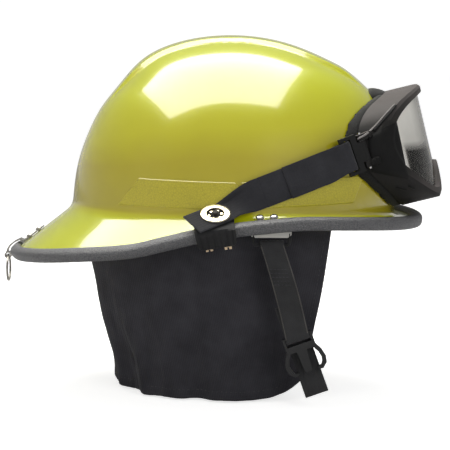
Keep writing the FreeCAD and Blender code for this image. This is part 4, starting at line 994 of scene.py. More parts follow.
def build_shell(nk, rows, smooth_rows=8):
    ths = [2 * PI * j / nk for j in range(nk)]
    outer = []
    for i in range(1, rows + 1):
        r = []
        t = i / rows
        for th in ths:
            zd = root_z(th) + 7.0
            p = dome(th, CROWN_Z - (CROWN_Z - zd) * t * t)
            n = unit(grad(p))
            h = band_height(p)
            r.append((add(p, n, h), n))
        outer.append([q[0] for q in r])
    fil, brim = [], []
    for th in ths:
        zj = root_z(th)
        e, o, n, t = frame(th)
        top = add(e, n, SHELL_T / 2)
        j = dome(th, zj)
        d0 = dome(th, zj + 7.0)
        u = unit(sub(top, j))
        f = add(j, u, 7.0)
        fil.append([comb((d0, j, f), ((1 - q) ** 2, 2 * q * (1 - q), q * q)) for q in
                    [k / smooth_rows for k in range(1, smooth_rows + 1)]])
        brim.append([comb((f, top), (1 - q, q)) for q in [k / 8 for k in range(1, 9)]])
    for k in range(smooth_rows):
        outer.append([fil[j][k] for j in range(nk)])
    for k in range(8):
        outer.append([brim[j][k] for j in range(nk)])
    inner = []
    nr = len(outer)
    for i in range(nr):
        row = []
        for j in range(nk):
            a = outer[max(i - 1, 0)][j]
            b = outer[min(i + 1, nr - 1)][j]
            t = sub(outer[i][(j + 1) % nk], outer[i][j - 1])
            n = unit(cross(t, sub(a, b)))
            if i < rows:
                p = outer[i][j]
                n = unit(grad(p))
                row.append(add(p, n, -SHELL_T - band_height(p) * 0.9))
            else:
                row.append(add(outer[i][j], n, -SHELL_T))
        inner.append(row)
    top = (DOME_X, 0.0, CROWN_Z + band_height((DOME_X, 0, CROWN_Z)))
    bot = (DOME_X, 0.0, CROWN_Z - SHELL_T)
    v = [p for r in outer for p in r]
    k = len(v)
    v += [p for r in inner for p in r]
    f = grid_faces(nr, nk, True) + [q[::-1] for q in grid_faces(nr, nk, True, k)]
    for j in range(nk):
        a, b = (nr - 1) * nk + j, (nr - 1) * nk + (j + 1) % nk
        f.append((a, b, b + k, a + k))
    v += [top, bot]
    for j in range(nk):
        f.append((len(v) - 2, (j + 1) % nk, j))
        f.append((len(v) - 1, k + j, k + (j + 1) % nk))
    return v, f


v, f = build_shell(480, 84)
shell = autosmooth(mesh_obj("helmet_shell", v, f), 50)
put(shell, "shell_lime", "helmet", ["outer_shell"])


# --------------------------------------------------- reflective trapezoids
def quad_xz(c, u, v):
    bl, tl, tr, br = c
    x = (bl[0] * (1 - u) + br[0] * u) * (1 - v) + (tl[0] * (1 - u) + tr[0] * u) * v
    z = (bl[1] * (1 - u) + br[1] * u) * (1 - v) + (tl[1] * (1 - u) + tr[1] * u) * v
    return x, z


pv, pf = [], []
for side in (-1, 1):
    pa_, pb_ = PANELS
    for c in (pa_, (pb_[1], pb_[0], pb_[3], pb_[2])):
        n_u, n_v = 90, 26
        ga_, gb_ = [], []
        for i in range(n_v + 1):
            ra_, rb_ = [], []
            for j in range(n_u + 1):
                # samples crowd at the border so its rounded lip has a shape
                u = 0.5 - 0.5 * math.cos(PI * j / n_u)
                w = 0.5 - 0.5 * math.cos(PI * i / n_v)
                x, z = quad_xz(c, u, w)
                e_ = min(min(u, 1 - u) * 110.0, min(w, 1 - w) * 22.0)
                lip = 0.25 + 0.50 * smooth01(e_ / 0.7) - 0.16 * smooth01((e_ - 1.3) / 0.5)
                ra_.append(on_dome(x, z, side, lip))
                rb_.append(on_dome(x, z, side, -0.35))
            ga_.append(ra_)
            gb_.append(rb_)
        v, f = sheet_solid(ga_, gb_)
        k = len(pv)
        pv += v
        pf += [tuple(q + k for q in g) for g in f]
put(mesh_obj("reflective_trapezoids", pv, pf), "reflective_lime", "helmet", ["reflective_panels"])


# ------------------------------------------------------------- soft inserts
def soften(node, slot, body, voxel=1.6, iters=10, puff=0.35, rough_=0.25, scale=55.0):
    """Rounded, slightly lumpy skin over a padded piece."""
    src = frame_["nodes"][node]
    ob = bpy.data.objects.new(node + "_skin", src.data.copy())
    ob.matrix_world = src.matrix_world.copy()
    bpy.context.scene.collection.objects.link(ob)
    ob.data.materials.clear()
    bpy.ops.object.select_all(action="DESELECT")
    bpy.context.view_layer.objects.active = ob
    ob.select_set(True)
    r = ob.modifiers.new("r", "REMESH")
    r.mode = "VOXEL"
    r.voxel_size = voxel * S
    s = ob.modifiers.new("s", "SMOOTH")
    s.iterations = iters
    s.factor = 0.5
    dg = bpy.context.evaluated_depsgraph_get()
    me = bpy.data.meshes.new_from_object(ob.evaluated_get(dg))
    ob.modifiers.clear()
    ob.data = me
    bm = bmesh.new()
    bm.from_mesh(me)
    bm.normal_update()
    for v in bm.verts:
        n = mnoise.noise(v.co * scale) * rough_ + mnoise.noise(v.co * scale * 4) * rough_ * 0.3
        v.co += v.normal * (puff + n) * S
    bm.to_mesh(me)
    bm.free()
    for p in me.polygons:
        p.use_smooth = True
    return put(ob, slot, body, [node])


soften("brow_pad", "brow_leather", "helmet", 1.2, 5, 0.30, 0.18)
soften("crown_pad", "pad_fabric", "helmet", 1.6, 8, 0.35, 0.3)
soften("nape_pad", "pad_fabric", "helmet", 1.4, 7, 0.35, 0.25)
face_foam_ = soften("goggle_face_foam", "goggle_foam", "goggles", 1.5, 6, 0.55, 0.2)

for k_, n_ in enumerate(("crown_strap_front", "crown_strap_middle", "crown_strap_rear")):
    g0_, g1_ = crown_strap(k_)
    rows0, rows1 = [], []
    nr_ = 15
    for i in range(nr_):
        u = i / (nr_ - 1)
        rib = 0.10 * (1 - abs(math.cos(PI * 7 * u)))
        edge_ = 0.30 if i in (0, nr_ - 1) else 0.0
        ra, rb = [], []
        for a0, a1, b0, b1 in zip(g0_[0], g0_[1], g1_[0], g1_[1]):
            pa = comb((a0, b0), (1 - u, u))
            pb = comb((a1, b1), (1 - u, u))
            mid = comb((pa, pb), (0.5, 0.5))
            q = 1 - rib - edge_
            ra.append(comb((mid, pa), (1 - q, q)))
            rb.append(comb((mid, pb), (1 - q, q)))
        rows0.append(ra)
        rows1.append(rb)
    v, f = sheet_solid(rows0, rows1)
    put(autosmooth(mesh_obj("crown_webbing_%d" % k_, v, f), 60), "suspension_webbing", "helmet", [n_])

# hook tape inside the shell
ths_ = lin(0.95, 2 * PI - 0.95, 120)
ga = [[add((dome(t, 19.5)[0], dome(t, 19.5)[1], z), unit((grad(dome(t, 19.5))[0], grad(dome(t, 19.5))[1], 0.0)),
           -SHELL_T - 0.5 - e_) for t in ths_] for z, e_ in ((13.5, 0.25), (14.1, 0.0), (17.0, 0.0), (19.9, 0.0), (20.5, 0.25))]
gb = [[add((dome(t, 19.5)[0], dome(t, 19.5)[1], z), unit((grad(dome(t, 19.5))[0], grad(dome(t, 19.5))[1], 0.0)),
           -SHELL_T - 1.75 + e_) for t in ths_] for z, e_ in ((13.5, 0.25), (14.1, 0.0), (17.0, 0.0), (19.9, 0.0), (20.5, 0.25))]
v, f = sheet_solid(ga, gb)
put(mesh_obj("hook_tape_strip", v, f), "hook_tape", "helmet", ["curtain_tape"])


# ------------------------------------------------------------- neck curtain
def curtain_surface(u, v, off=0.0, inset_=0.0, z_top=12.0):
    """u -1..1 round the back, v 0 top to 1 bottom; with soft folds."""
    q = max(0.0, (abs(u) - 0.80) / 0.20)
    bot = CURTAIN_DROP + 1.2 + inset_ + 26.0 * (1 - math.sqrt(max(0.0, 1 - q * q * 0.92)))
    bot += 3.0 * step(-abs(u), -0.35, 0.0)
    z = z_top + (bot - z_top) * v
    edge_x = 79.0 + (z - 8.0) * 0.145 - inset_
    edge_x += 1.6 * math.sin(v * 5.0 + 0.6) * v
    th0 = math.acos(min(0.98, (edge_x - DOME_X) / C_FRONT))
    th = PI + u * (PI - th0)
    amp = smooth01((v - 0.16) / 0.84)
    fold = (2.4 * math.sin(th * 9.0 + 1.2 + 1.5 * v) + 1.5 * math.sin(th * 17.0 + 0.4 - 2.2 * v)) * amp
    fold += 2.6 * noise((th * 6.0, v * 2.2, 3.1), 1.0) * amp
    fold += 0.9 * noise((th * 21.0, v * 9.0, 7.7), 1.0) * amp
    d = curtain_pt(th, z, off + fold)
    return (d[0], d[1], z + 1.0 * noise((th * 5.0, 0.0, 1.7), 1.0) * v)


def hem_amount(u, v, su, sv):
    """1 inside the folded hem along the front edges and the bottom."""
    e = min((1 - abs(u)) * su, (1 - v) * sv)
    return smooth01((8.6 - e) / 0.9), e


NU, NV = ((110, 300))
SU, SV = 330.0, 150.0
g0_, g1_ = [], []
for i in range(NU + 1):
    v_ = i / NU
    a, b = [], []
    for j in range(NV + 1):
        u_ = 2.0 * j / NV - 1.0
        hem, e_ = hem_amount(u_, v_, SU, SV)
        edge_round = 0.45 * smooth01((1.2 - e_) / 1.2)
        groove = 0.35 * math.exp(-((e_ - 7.4) / 0.55) ** 2)
        a.append(curtain_surface(u_, v_, 0.0 + 0.45 * hem - groove - edge_round))
        b.append(curtain_surface(u_, v_, -1.5 - 0.25 * hem + groove * 0.5 + edge_round))
    g0_.append(a)
    g1_.append(b)
v, f = sheet_solid(g0_, g1_)
curtain = mesh_obj("neck_curtain_sheet", v, f)
put(curtain, "curtain_fabric", "helmet", ["neck_curtain"])

g0_, g1_ = [], []
for i in range(51):
    a, b = [], []
    for j in range(151):
        v_, u_ = i / 50, 2.0 * j / 150 - 1.0
        a.append(curtain_surface(u_, v_, -2.1, 2.5))
        b.append(curtain_surface(u_, v_, -3.0 + 0.3 * math.sin(u_ * 60), 2.5))
    g0_.append(a)
    g1_.append(b)
v, f = sheet_solid(g0_, g1_)
put(mesh_obj("curtain_lining_sheet", v, f), "lining_fabric", "helmet", ["curtain_lining"])


def stitch_mesh(name, pts, normals, length, gap, r, slot, body, color_mat=None, sides=6, lift=0.0):
    """Row of short thread stitches following a polyline."""
    vs, fs = [], []
    acc = [0.0]
    for a, b in zip(pts, pts[1:]):
        acc.append(acc[-1] + math.sqrt(dot(sub(b, a), sub(b, a))))

    def sample(s):
        for i in range(len(pts) - 1):
            if acc[i + 1] >= s:
                t = (s - acc[i]) / max(1e-9, acc[i + 1] - acc[i])
                return comb((pts[i], pts[i + 1]), (1 - t, t)), normals[i]
        return pts[-1], normals[-1]
    s = gap * 0.5
    while s + length < acc[-1]:
        a, n = sample(s)
        b, _ = sample(s + length)
        t = unit(sub(b, a))
        w = unit(cross(t, n))
        base = len(vs)
        ring = []
        for q, rad, h in ((0.0, 0.35, -0.6), (0.18, 1.0, 0.25), (0.5, 1.1, 0.5), (0.82, 1.0, 0.25), (1.0, 0.35, -0.6)):
            c = add(comb((a, b), (1 - q, q)), n, lift + h * r)
            ring.append([add(add(c, w, rad * r * math.cos(2 * PI * k / sides)), n, rad * r * 0.8 * math.sin(2 * PI * k / sides))
                         for k in range(sides)])
        for rr in ring:
            vs += rr
        for i in range(4):
            for k in range(sides):
                p, q2 = base + i * sides + k, base + i * sides + (k + 1) % sides
                fs.append((p, q2, q2 + sides, p + sides))
        fs.append(tuple(base + k for k in range(sides))[::-1])
        fs.append(tuple(base + 4 * sides + k for k in range(sides)))
        s += length + gap
    ob = mesh_obj(name, vs, fs)
    put(ob, slot, body, (), color_mat)
    return ob


THREAD = mat_fabric("thread_dark", (0.055, 0.055, 0.06), 3000, 0.6, 0.3, 0.1)


def curtain_normal(u, v):
    a = curtain_surface(u + 0.004, v)
    b = curtain_surface(u - 0.004, v)
    c = curtain_surface(u, min(1, v + 0.01))
    d = curtain_surface(u, max(0, v - 0.01))
    n = unit(cross(sub(a, b), sub(c, d)))
    p = curtain_surface(u, v)
    return n if n[0] * (p[0] + 3) + n[1] * p[1] > 0 else (-n[0], -n[1], -n[2])


line, nrm = [], []
uu, vv = 1 - 7.4 / SU, 1 - 7.4 / SV
path_ = [(-uu, 0.02 + (vv - 0.02) * i / 60) for i in range(61)]
path_ += [(-uu + 2 * uu * i / 260, vv) for i in range(1, 261)]
path_ += [(uu, vv - (vv - 0.02) * i / 60) for i in range(1, 61)]
for a, b in path_:
    n = curtain_normal(a, b)
    line.append(add(curtain_surface(a, b, 0.0), n, 0.0))
    nrm.append(n)
stitch_mesh("curtain_hem_stitches", line, nrm, 2.7, 1.1, 0.34, "curtain_fabric", "helmet", THREAD)


# --------------------------------------------------------------- chin strap
def ribbon(name, stations, w, t, slot, body, nodes=(), ribs=7, depth=0.16, sharp=50):
    """stations: (centre, across, normal); swept webbing with ribbed faces."""
    sec = strap_section(w, t, ribs, depth)
    v, f = section_strip([s[0] for s in stations], [(s[1], s[2]) for s in stations], sec)
    return put(autosmooth(mesh_obj(name, v, f), sharp), slot, body, nodes)


def mir(p):
    return (p[0], -p[1], p[2])


SELV = []


def chin_strap_visual(side, body, node):
    y = -BAR_Y
    top, bo = CHIN_TOP, BUCKLE_O
    L = math.sqrt(dot(sub(bo, top), sub(bo, top)))
    dn = unit(sub(bo, top))
    # outer ply: from behind the bar over the top and down the outside
    ra = 1.95 + CHIN_T / 2
    loop = []
    for i in range(17):
        a = -0.62 * PI + 1.62 * PI * i / 16          # 0 = inboard, pi = outboard
        n = (0, math.cos(a), math.sin(a))
        loop.append((add((top[0], y, top[2]), n, ra), (1, 0, 0), n))
    for i in range(1, 25):
        q = i / 24
        s = q * (L - 1.0)
        c = add((top[0], y, top[2]), dn, s)
        offy = -(ra * (1 - smooth01(q * 3.2)) + 0.95 * smooth01(q * 3.2)) - 0.5 * math.sin(PI * q)
        if q > 0.9:
            offy -= (q - 0.9) * 10 * 2.0
        c = (c[0] + 1.1 * math.sin(PI * q), y + offy, c[2])
        wv = unit(comb(((1, 0, 0), BUCKLE_L), (1 - smooth01(q), smooth01(q))))
        loop.append((c, wv, (0, -1, 0)))
    # round the buckle's bar
    z0 = cross(BUCKLE_L, BUCKLE_D)
    if z0[1] > 0:
        z0 = tuple(-k for k in z0)                    # z0 points outboard
    rb = 2.25 + 0.8
    for i in range(1, 12):
        a = 0.10 * PI + 1.35 * PI * i / 11
        n = comb((z0, BUCKLE_D), (math.cos(a), math.sin(a)))
        loop.append((add(bo, n, rb), BUCKLE_L, n))
    # inner ply back up behind
    last = loop[-1]
    for i in range(1, 9):
        q = i / 8
        c = add(add(bo, BUCKLE_D, -1.0 - 26.0 * q), (0, 1, 0), 1.0 + 0.2 * math.sin(q * 3))
        c = (c[0], -BAR_Y + 1.0 + 0.15 * q, c[2])
        loop.append((c, BUCKLE_L, (0, 1, 0)))
    if side > 0:
        loop = [(mir(c), mir(w), mir(n)) for c, w, n in loop]
    outer_ply = loop[16:41]
    for k_, sg in enumerate((-1, 1)):
        cen_ = [add(add(c, w, sg * (CHIN_W / 2 - 0.75)), n, 0.82) for c, w, n in outer_ply]
        tv, tf = section_strip(cen_, [(w, n) for c, w, n in outer_ply],
                               [(0.42 * math.cos(2 * PI * j / 8), 0.24 * math.sin(2 * PI * j / 8)) for j in range(8)])
        SELV.append((body, mesh_obj("chin_selvedge_%s_%d" % (body, k_), tv, tf)))
    sec = strap_section(CHIN_W - 0.2, 1.45, 6, 0.16)
    v, f = section_strip([s[0] for s in loop], [(s[1], s[2]) for s in loop], sec)
    return put(autosmooth(mesh_obj(node + "_web", v, f), 50), "webbing_black", body, [node])


chin_strap_visual(-1, "chin_right", "chin_strap_right")
chin_strap_visual(1, "chin_left", "chin_strap_left")
for b_, ob_ in SELV:
    put(ob_, "webbing_black", b_, (), MATS["selvedge"])

# bar-tack stitching on the chin webbing, both sides
for side in (-1, 1):
    rows_ = []
    for k in range(5):
        s0 = 20.0 + 3.2 * k
        dn = unit(sub(BUCKLE_O, CHIN_TOP))
        c = add(CHIN_TOP, dn, s0)
        a = (c[0] - 7.5, -BAR_Y - 2.25 - 0.25, c[2] + 0.4)
        b = (c[0] + 8.5, -BAR_Y - 2.25 - 0.25, c[2] + 0.4)
        if side > 0:
            a, b = mir(a), mir(b)
        stitch_mesh("chin_tack_%s_%d" % ("r" if side < 0 else "l", k), [comb((a, b), (1 - i / 12, i / 12)) for i in range(13)],
                    [(0, side, 0)] * 13, 2.1, 0.7, 0.26, "webbing_black", "chin_right" if side < 0 else "chin_left", THREAD)

# tail below the buckle
z0_ = cross(BUCKLE_L, BUCKLE_D)
tail = []
for i in range(22):
    q = i / 21
    d = 3.8 + 45.0 * q
    lift = 3.7 + 0.35 * math.sin(q * 5.0)
    tail.append((add(add(BUCKLE_O, BUCKLE_D, d), z0_, lift), BUCKLE_L, z0_))
sec_ = strap_section(CHIN_W - 0.2, 1.5, 6, 0.16)
v, f = section_strip([s[0] for s in tail], [(s[1], s[2]) for s in tail], sec_)
put(autosmooth(mesh_obj("chin_tail_web", v, f), 50), "webbing_black", "buckle_right", ["chin_strap_tail"])
hem = []
for i in range(6):
    d = 40.5 + 8.8 * i / 5
    hem.append((add(add(BUCKLE_O, BUCKLE_D, d), z0_, 5.0), BUCKLE_L, z0_))
v, f = section_strip([s[0] for s in hem], [(s[1], s[2]) for s in hem], strap_section(CHIN_W, 1.3, 6, 0.16))
put(autosmooth(mesh_obj("chin_tail_hem", v, f), 50), "webbing_black", "buckle_right")


# ------------------------------------------------------------- goggle straps
def stud_pt(a, h, n):
    g = math.radians(34.0)
    e1, e2 = (1.0, 0.0, 0.0), STUD_E2
    d = comb((e1, e2), (math.cos(g), math.sin(g)))
    w = comb((e1, e2), (-math.sin(g), math.cos(g)))
    return add(add(add(STUD_O, d, a), w, h), STUD_N, n)


def clear(p, gap):
    """Push a point out until it clears the dome by gap."""
    for _ in range(3):
        d = distance(p)
        if d < gap:
            p = add(p, unit(grad(p)), gap - d)
    return p


def strap_line(h):
    """Middle line of the webbing at position h across it: from the stud, up
    the dome, through the clip's slot and back over itself to the sewn end."""
    g = []
    for a in (-22.0, -18.0, -14.0, -10.0, -6.0, -2.0, 2.0, 6.0):
        g.append(clear(stud_pt(a, h, -0.6), 1.7))
    g.append(clear(stud_pt(11.0, h, 0.6), 2.0))
    for x in (14.0, 22.0, 29.0, 36.0, 44.0, 51.0, 58.0, 66.0, 74.0):
        g.append(clear(strap_point(x, h, -1, 2.15), 2.0))
    k = h * 0.96
    g.append(clip_point(-1, 19.5, -2.7, k))
    g.append(clip_point(-1, 16.0, -2.75, k))
    for d in (-60.0, -20.0, 20.0, 60.0):
        a = math.radians(d)
        g.append(clip_point(-1, 14.2 - 2.7 * math.cos(a), 0.25 + 3.0 * math.sin(a), k))
    g.append(clip_point(-1, 16.0, 3.3, k))
    g.append(clip_point(-1, 19.5, 3.4, k))
    k = h * 1.04
    for x in (72.0, 64.0, 56.0, 48.0, 40.0):
        g.append(strap_point(x, k, -1, 2.15 + 1.9 + (0.4 if x > 70 else 0.0)))
    return g


STN = 250
nrib = 9
NH = nrib * 4
lines_ = []
for i in range(NH + 1):
    h = -STRAP_W / 2 + 0.3 + (STRAP_W - 0.6) * i / NH
    pts = strap_line(h)
    if i == 0:
        mids = strap_line(0.0)
        acc = [0.0]
        for a, b in zip(mids, mids[1:]):
            acc.append(acc[-1] + math.sqrt(dot(sub(b, a), sub(b, a))))
    fx = [natural(acc, [p[k] for p in pts]) for k in range(3)]
    lines_.append([tuple(g(acc[-1] * j / STN) for g in fx) for j in range(STN + 1)])
MIDROW = lines_[NH // 2]
norm_ = []
for i in range(NH + 1):
    r = []
    for j in range(STN + 1):
        t = sub(lines_[i][min(j + 1, STN)], lines_[i][max(j - 1, 0)])
        w = sub(lines_[min(i + 1, NH)][j], lines_[max(i - 1, 0)][j])
        r.append(unit(cross(t, w)))
    norm_.append(r)
if norm_[NH // 2][60][1] > 0:
    norm_ = [[tuple(-c for c in n) for n in r] for r in norm_]


def strap_piece(name, i0, i1, side, drop=0.0, wide=1.0, thin=1.0):
    a, b = [], []
    for i in range(NH + 1):
        rib = 0.13 * 0.5 * (1 - math.cos(2 * PI * nrib * i / NH))
        e_ = 0.35 if i in (0, NH) else 0.0
        ra, rb = [], []
        for j in range(i0, i1 + 1):
            p, n, c = lines_[i][j], norm_[i][j], MIDROW[j]
            p = add(add(c, sub(p, c), wide), n, -drop)
            weft = 0.05 * math.sin(j * 2.1)
            t = (0.88 - rib - e_ + weft) * thin
            if j in (i0, i1):
                t *= 0.6
            ra.append(add(p, n, t))
            rb.append(add(p, n, -t))
        a.append(ra)
        b.append(rb)
    if side > 0:
        a = [[mir(p) for p in r] for r in a]
        b = [[mir(p) for p in r] for r in b]
    v, f = sheet_solid(a, b)
    return autosmooth(mesh_obj(name, v, f), 50)


def at_len(s):
    return int(round(STN * s / acc[-1]))


A_END = at_len(acc[7] + 4.5)
A_MID = at_len(acc[10])
for side, tag in ((-1, "right"), (1, "left")):
    end = strap_piece("strap_end_web_" + tag, 0, A_END, side)
    put(end, "strap_elastic", "strap_end_" + tag, ["strap_end_" + tag])
    near = strap_piece("goggle_strap_near_" + tag, A_END - 5, A_MID, side, 0.2, 0.985, 0.8)
    near.data.materials.append(MATS["strap_elastic"])
    p0, p1 = MIDROW[A_END - 5], MIDROW[A_MID]
    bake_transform(near)
    far = strap_piece("goggle_strap_long_" + tag, A_MID - 1, STN, side)
    far.data.materials.append(MATS["strap_elastic"])
    p0, p1 = MIDROW[A_MID + 6], MIDROW[at_len(acc[17])]
    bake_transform(far)
    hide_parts("goggle_strap_" + tag)


# ---------------------------------------------------- brim screws and plates
def revolve(prof, o, ax, n=28, cross_slot=0.0):
    """Turn (r, h) profile round ax at o."""
    ex = unit(cross((0, 1, 0.3), ax))
    ey = cross(ax, ex)
    v, f = [], []
    for r, h in prof:
        for k in range(n):
            a = 2 * PI * k / n
            v.append(add(add(add(o, ax, h), ex, r * math.cos(a)), ey, r * math.sin(a)))
    m = len(prof)
    for i in range(m - 1):
        for k in range(n):
            a, b = i * n + k, i * n + (k + 1) % n
            f.append((a, b, b + n, a + n))
    f.append(tuple(range(n))[::-1])
    f.append(tuple((m - 1) * n + k for k in range(n)))
    return v, f, ex, ey


def merge(parts):
    v, f = [], []
    for a, b in parts:
        k = len(v)
        v += a
        f += [tuple(q + k for q in g) for g in b]
    return v, f


def bar_mesh(o, ex, ey, ez, x0, x1, y0, y1, z0, z1, bev=0.15):
    """Box with chamfered edges in a local frame."""
    pts = []
    for z, k in ((z0, bev), (z0 + bev, 0), (z1 - bev, 0), (z1, bev)):
        for x, y in ((x0 + k, y0 + k), (x1 - k, y0 + k), (x1 - k, y1 - k), (x0 + k, y1 - k)):
            pts.append(add(add(add(o, ex, x), ey, y), ez, z))
    f = [(3, 2, 1, 0), (12, 13, 14, 15)]
    for i in range(3):
        for k in range(4):
            a, b = i * 4 + k, i * 4 + (k + 1) % 4
            f.append((a, b, b + 4, a + 4))
    return pts, f


head_parts, cross_parts = [], []
for side in (-1, 1):
    for x in SCREW_X:
        f_ = chin_frame(side, x)
        o = screw_point(x, side, SHELL_T / 2 + 0.30)
        ax = f_[2]
        prof = [(1.45, -7.6), (1.5, -7.2), (1.5, -0.2), (4.0, -0.15), (4.15, 0.25), (4.0, 0.95), (3.2, 1.15), (3.0, 1.6),
                (3.35, 1.85), (3.45, 3.0), (3.2, 3.9), (2.5, 4.5), (1.6, 4.8), (0.6, 4.9)]
        v, f, ex, ey = revolve(prof, o, ax)
        head_parts.append((v, f))
        for a in (0.4, 0.4 + PI / 2):
            u = comb((ex, ey), (math.cos(a), math.sin(a)))
            w = cross(ax, u)
            cross_parts.append(bar_mesh(o, u, w, ax, -1.8, 1.8, -0.33, 0.33, 4.0, 4.96, 0.08))
v, f = merge(head_parts)
put(autosmooth(mesh_obj("chin_screw_heads", v, f), 35), "screw_chrome", "helmet", ["chin_plate_screws"])
# painted shade: the cross recess in each chrome head is drawn as dark bars in the stud finish, not cut into the head
v, f = merge(cross_parts)
put(autosmooth(mesh_obj("chin_screw_recess", v, f), 35), "screw_chrome", "helmet", (), MATS["stud_metal"])

for side, tag in ((-1, "right"), (1, "left")):
    parts_ = []
    st = []
    for i in range(25):
        x = 10.5 + 35.0 * i / 24
        f_ = chin_frame(side, x)
        st.append((loc(f_, 0.0, 0.0), (f_[1], f_[2])))
    flange = [(-14.5, -2.05), (-7.1, -2.05), (-6.6, -2.5), (-6.6, -3.3), (-7.0, -3.7), (-14.5, -3.7)]
    v, f = section_strip([q[0] for q in st], [q[1] for q in st], flange)
    parts_.append((v, f))
    # hanging tab: a rounded strip that shows below the rim
    rows_ = []
    for i in range(41):
        x = 12.4 + 31.8 * i / 40
        d = min(x - 12.4, 44.2 - x)
        r = 2.6
        k = r - math.sqrt(max(r * r - (r - min(d, r)) ** 2, 0.0))
        y = side * BAR_Y
        rows_.append(((x, y, 0.0), ((0.0, -side * -1.0, 0.0), (0, 0, 1.0)), -4.5 + k))
    ga, gb = [], []
    for p_, fr2, zb in rows_:
        zt = 4.2
        prof_ = [(1.15, zt), (1.35, zt - 1.5), (1.35, zb + 1.2), (1.05, zb + 0.35), (0.5, zb)]
        ga.append([(p_[0], p_[1] + side * q0, q1) for q0, q1 in prof_])
        gb.append([(p_[0], p_[1] - side * q0 * 0.8, q1) for q0, q1 in prof_])
    parts_.append(sheet_solid(ga, gb))
    v, f = merge(parts_)
    put(autosmooth(mesh_obj("chin_plate_lip_" + tag, v, f), 35), "plate_grey", "helmet",
        ["chin_plate_" + tag])
    # wire loop under the plate that carries the webbing
    y = side * BAR_Y
    loop_pts = [(14.5, y, -1.5), (14.5, y, -5.5), (14.8, y, -8.6), (16.2, y, -10.0), (22.0, y, -10.0), (29.0, y, -10.0),
                (36.0, y, -10.0), (41.0, y, -10.0), (42.4, y, -8.6), (42.7, y, -5.5), (42.7, y, -1.0)]
    cen, frs_ = [], []
    for i, p in enumerate(loop_pts):
        t = unit(sub(loop_pts[min(i + 1, 10)], loop_pts[max(i - 1, 0)]))
        e1 = (0.0, 1.0, 0.0)
        cen.append(p)
        frs_.append((e1, cross(t, e1)))
    sec_ = [(1.45 * math.cos(2 * PI * k / 14), 1.45 * math.sin(2 * PI * k / 14)) for k in range(14)]
    v, f = section_strip(cen, frs_, sec_)
    put(mesh_obj("chin_plate_wire_" + tag, v, f), "plate_grey", "helmet", (), MATS["clamp_plastic"])

# -------------------------------------------------- clamp bodies, grommets
def stud_pt(x, y, z, side):
    p = tuple(STUD_O[i] + STUD_E1[i] * x + STUD_E2[i] * y + STUD_N[i] * z for i in range(3))
    return p if side < 0 else mir(p)


def clamp_body(side):
    """Moulded jaw: finger flutes on the outside, rounded lower corners."""
    a, b = theta_at(CLAMP_X[0], 1), theta_at(CLAMP_X[1], 1)
    n_s = 72
    cen, rows2 = [], []
    for i in range(n_s + 1):
        t = i / n_s
        th = -(a + (b - a) * t)
        fr = frame(th)
        d = 30.0 * min(t, 1 - t)
        r = 4.2
        k = r - math.sqrt(max(r * r - (r - min(d, r)) ** 2, 0.0))
        fl = 1.35 * (0.5 - 0.5 * math.cos(2 * PI * 6.0 * t)) * smooth01((d - 1.2) / 2.0)
        e = 0.7 * (1 - smooth01(d / 1.6))
        sec = [(-14.8, 3.6), (-14.8, 6.8 - e), (-2.0, 9.2 - e), (5.0, 9.2 - e), (7.3 - e, 7.8 - e),
               (8.5 - e - 0.3 * fl, 5.8), (8.9 - e - fl, 3.0), (9.1 - e - fl, -2.0), (9.0 - e - fl, -6.2 + k * 0.6),
               (8.2 - e - 0.6 * fl, -8.2 + k), (6.6 - e, -9.2 + k), (-9.0 + e, -9.2 + k), (-9.5, -8.8 + k),
               (-9.5, -6.25), (5.1, -6.25), (5.1, 6.0), (-6.8, 6.0), (-8.5, 3.6)]
        pts = []
        for o, n in sec:
            p = loc(fr, o, n)
            # the pad under the strap end is flat, square to the stud
            q = tuple(p[j] - STUD_O[j] for j in range(3))
            h = dot(q, STUD_N) + 2.06
            if h > 0:
                p = add(p, STUD_N, -h)
            pts.append(p)
        if side > 0:
            pts = [mir(p) for p in pts]
        rows2.append(pts)
    m = len(rows2[0])
    v = [p for r_ in rows2 for p in r_]
    f = []
    for i in range(n_s):
        for j in range(m):
            p0, p1 = i * m + j, i * m + (j + 1) % m
            f.append((p0, p1, p1 + m, p0 + m) if side < 0 else (p1, p0, p0 + m, p1 + m))
    f.append(tuple(range(m))[::-1] if side < 0 else tuple(range(m)))
    f.append(tuple(n_s * m + j for j in range(m)) if side < 0 else tuple(n_s * m + j for j in range(m))[::-1])
    return v, f


